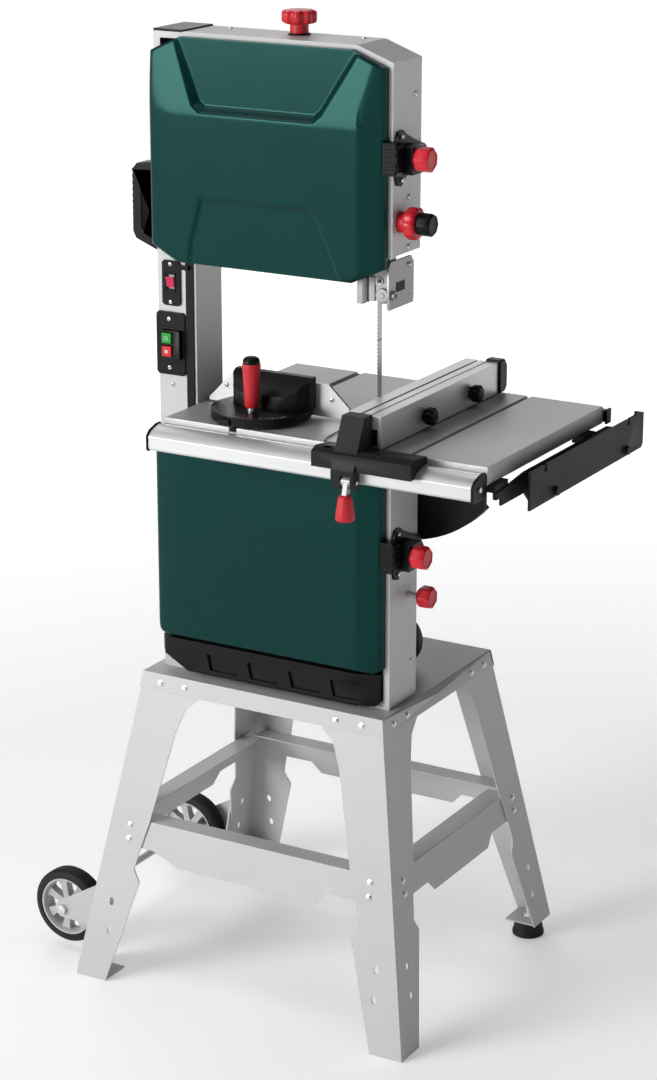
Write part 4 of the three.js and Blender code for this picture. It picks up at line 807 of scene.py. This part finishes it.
def build_fence():
    outline = [(-30, 447), (27, 447), (27, 496), (8, 496), (8, 497), (-5, 497), (-5, 489), (-2, 489), (-2, 484),
               (-12, 484),
               (-12, 489), (-9, 489), (-9, 497), (-30, 497)]
    piece("fence_extrusion", [polygon("y", outline, -60, 318)], ALLOY_Y, "fence", bevel=0.5,
          replaces=("fence_profile",))
    copy_node("fence_head", BRACKET, 1.8, 3)
    cap = polygon("x", [(318, 446.5), (336, 446.5), (344, 454), (344, 488), (336, 500), (318, 500)], 4, 31)
    piece("fence_end_cap", [cap], BLACK, "fence", bevel=3.0, segments=4)
    # A dark plate on the profile's front end: painted shade standing for the hollow inside.
    hollow_shade = [block(-25, 22, -60.4, -59.8, 452, 477)]
    piece("fence_hollow_end_shade", hollow_shade, CAST_BLACK_AND_SHADE, "fence", bevel=0.2)
    knobs, faces = [], []
    for y, z in ((75, 468), (225, 469)):
        stations = [(27.1, 5), (27.6, 9.5), (31, 11), (31.6, 12.8, 1), (34, 13.5, 1), (42, 13.5, 1),
                    (44.5, 12.4, 1), (45.6, 9.5, 0.4), (45.8, 6)]
        knobs.append(revolve("x", y, z, stations, 96, 8, 2.4, 1.4))
        # A dark bar on each knob's end: painted shade standing for its slot.
        faces.append(block(45.4, 46, y - 1.1, y + 1.1, z - 7, z + 7))
    piece("fence_clamp_knobs", knobs, BLACK, "fence", smooth=45)
    piece("fence_knob_slot_shadows", faces, DARK_STEEL_AND_SHADE, "fence")
    groove = [block(-14.5, 0.5, -59.9, 317.9, 484.2, 484.6)]
    piece("fence_groove_shadow", groove, DARK_STEEL_AND_SHADE, "fence")
    neck = [polygon("x", [(-116.5, 410), (-101.5, 410), (-112.4, 387), (-121.6, 387)], -3.6, 4.6),
            revolve("x", -109, 408, [(-8, 7), (-7.4, 8), (7.4, 8), (8, 7)], 40)]
    piece("fence_lever_neck", neck, CAST_ALLOY, "fence_lever", bevel=0.8,
          replaces=("fence_lever",))
    grip = [(351, 9), (351.3, 12), (353, 14), (355.5, 14.5), (361, 14.1), (374, 12.2), (384, 10.7),
            (387.6, 9.8), (389.4, 8), (389.8, 5)]
    piece("fence_lever_grip", [revolve("z", 1, -118, grip, 56)], GRIP_RED, "fence_lever",
          smooth=45)
    bolts("fence_lever_pin", "fence", [((14, -109, 408), (1, 0, 0))], 3.4, washer=False)


def build_gauge():
    copy_node("gauge_bar", ZINC, 0.6, 2)
    copy_node("gauge_body", BLACK, 2.0, 3)
    copy_node("gauge_plate", ALLOY_X, 0.7, 2)
    z = 462.3
    neck = [(z, 6), (z, 7), (z + 5, 7), (z + 6, 9)]
    piece("gauge_handle_neck", [revolve("z", -222, -12, neck, 36)], ZINC, "gauge_handle",
          smooth=35,
          replaces=("gauge_handle",))
    grip = [(z + 5, 8.5), (z + 6, 10), (z + 8, 10.7), (z + 30, 11.9), (z + 60, 13.5), (z + 68, 14),
            (z + 72, 14), (z + 73.4, 13.4)]
    piece("gauge_handle_grip", [revolve("z", -222, -12, grip, 56)], GRIP_RED, "gauge_handle",
          smooth=45)
    cap = [(z + 73, 13.2), (z + 74.5, 13.2), (z + 78.5, 12.8), (z + 81.5, 11), (z + 83.6, 7), (z + 84, 3)]
    piece("gauge_handle_cap", [revolve("z", -222, -12, cap, 56)], BLACK, "gauge_handle",
          smooth=45)
    marks = []
    for i in range(-12, 13):
        t = math.radians(270 + i * 5)
        long = 9 if i % 3 == 0 else 5
        matrix = Matrix.Translation((-222, 15, 462.35)) @ Matrix.Rotation(t, 4, "Z")
        marks.append(moved(block(75.5 - long, 75.5, -0.35, 0.35, -0.1, 0.15), matrix))
    piece("gauge_degree_marks", marks, HUB, "gauge")
    where = [((x, 57, 476), (0, -1, 0)) for x in (-310, -122)]
    screws("gauge_plate_screws", "gauge", where, 4.0)


# ---------------------------------------------------------------- stage
# name, position, target, width and height in metres, watts, spread in degrees
LAMPS = (
    ("key", (-3.4, -5.6, 2.5), (0, 0, 0.9), (3.6, 3.0), 75, 70),
    ("top", (-2.6, -1.8, 6.0), (0, 0, 0.9), (3.0, 3.0), 68, 180),
    ("fill", (1.4, -0.6, 6.0), (0, 0, 0.9), (2.5, 2.5), 32, 180),
    ("slope", (-2.4, 2.4, 4.9), (0, 0, 0.95), (2.4, 2.4), 45, 180),
    ("rim", (-2.8, 5.0, 3.0), (0, 0, 1.0), (4.6, 2.6), 42, 180),
)
CAMERA_AZIMUTH, CAMERA_ELEVATION, CAMERA_DISTANCE = 30.1, 17.7, 4.2
CAMERA_AIM = (0.0865, -0.11875, 0.7794)
CAMERA_LENS, CAMERA_SENSOR = 91.5, 36
FLOOR_HALF, FLOOR_Z = 40, -0.0005


def lamp(name, position, target, size, power, spread):
    data = bpy.data.lights.new(name, "AREA")
    data.shape = "RECTANGLE"
    data.size, data.size_y = size
    data.energy = power
    data.spread = math.radians(spread)
    obj = bpy.data.objects.new(name, data)
    obj.location = position
    obj.rotation_euler = (Vector(target) - Vector(position)).to_track_quat("-Z", "Y").to_euler()
    bpy.context.scene.collection.objects.link(obj)


def build_stage():
    floor_mesh = bpy.data.meshes.new("floor")
    corners = [(a * FLOOR_HALF, b * FLOOR_HALF, FLOOR_Z) for a, b in ((-1, -1), (1, -1), (1, 1), (-1, 1))]
    floor_mesh.from_pydata(corners, [], [(0, 1, 2, 3)])
    floor = bpy.data.objects.new("floor", floor_mesh)
    bpy.context.scene.collection.objects.link(floor)
    material, tree, shader = graph("pale_floor")
    shader.inputs["Base Color"].default_value = (0.86, 0.86, 0.86, 1)
    shader.inputs["Roughness"].default_value = 0.85
    shader.inputs["Emission Color"].default_value = (1, 1, 1, 1)
    place = add(tree, "ShaderNodeTexCoord")
    reach = add(tree, "ShaderNodeVectorMath", operation="LENGTH")
    tree.links.new(place.outputs["Object"], reach.inputs[0])
    tree.links.new(ranged(tree, reach.outputs["Value"], 0.30, 0.97, 1.2, 5.0),
                   shader.inputs["Emission Strength"])
    floor_mesh.materials.append(material)
    world = bpy.data.worlds.new("studio")
    bpy.context.scene.world = world
    world.use_nodes = True
    background = world.node_tree.nodes["Background"]
    background.inputs["Color"].default_value = (1, 1, 1, 1)
    sky = world.node_tree
    toward = add(sky, "ShaderNodeTexCoord")
    split = add(sky, "ShaderNodeSeparateXYZ")
    sky.links.new(toward.outputs["Generated"], split.inputs[0])
    sky.links.new(ranged(sky, split.outputs["Z"], 0.9, 0.04, 0.05, 0.16), background.inputs["Strength"])
    for name, position, target, size, power, spread in LAMPS:
        lamp(name, position, target, size, power, spread)
    camera_data = bpy.data.cameras.new("camera")
    camera_data.lens = CAMERA_LENS
    camera_data.sensor_width = CAMERA_SENSOR
    camera = bpy.data.objects.new("camera", camera_data)
    azimuth, elevation = math.radians(CAMERA_AZIMUTH), math.radians(CAMERA_ELEVATION)
    aim = Vector(CAMERA_AIM)
    back = Vector((math.sin(azimuth) * math.cos(elevation), -math.cos(azimuth) * math.cos(elevation),
                   math.sin(elevation)))
    camera.location = aim + back * CAMERA_DISTANCE
    camera.rotation_mode = "QUATERNION"
    camera.rotation_quaternion = (-back).to_track_quat("-Z", "Y")
    camera_data.clip_end = 200
    bpy.context.scene.collection.objects.link(camera)
    bpy.context.scene.camera = camera
    bpy.context.scene.view_settings.view_transform = "Standard"


build_stage()
build_stand()
build_casters()
build_body()
build_doors()
build_knobs()
build_guide()
build_table()
build_fence()
build_gauge()

bpy.context.view_layer.update()
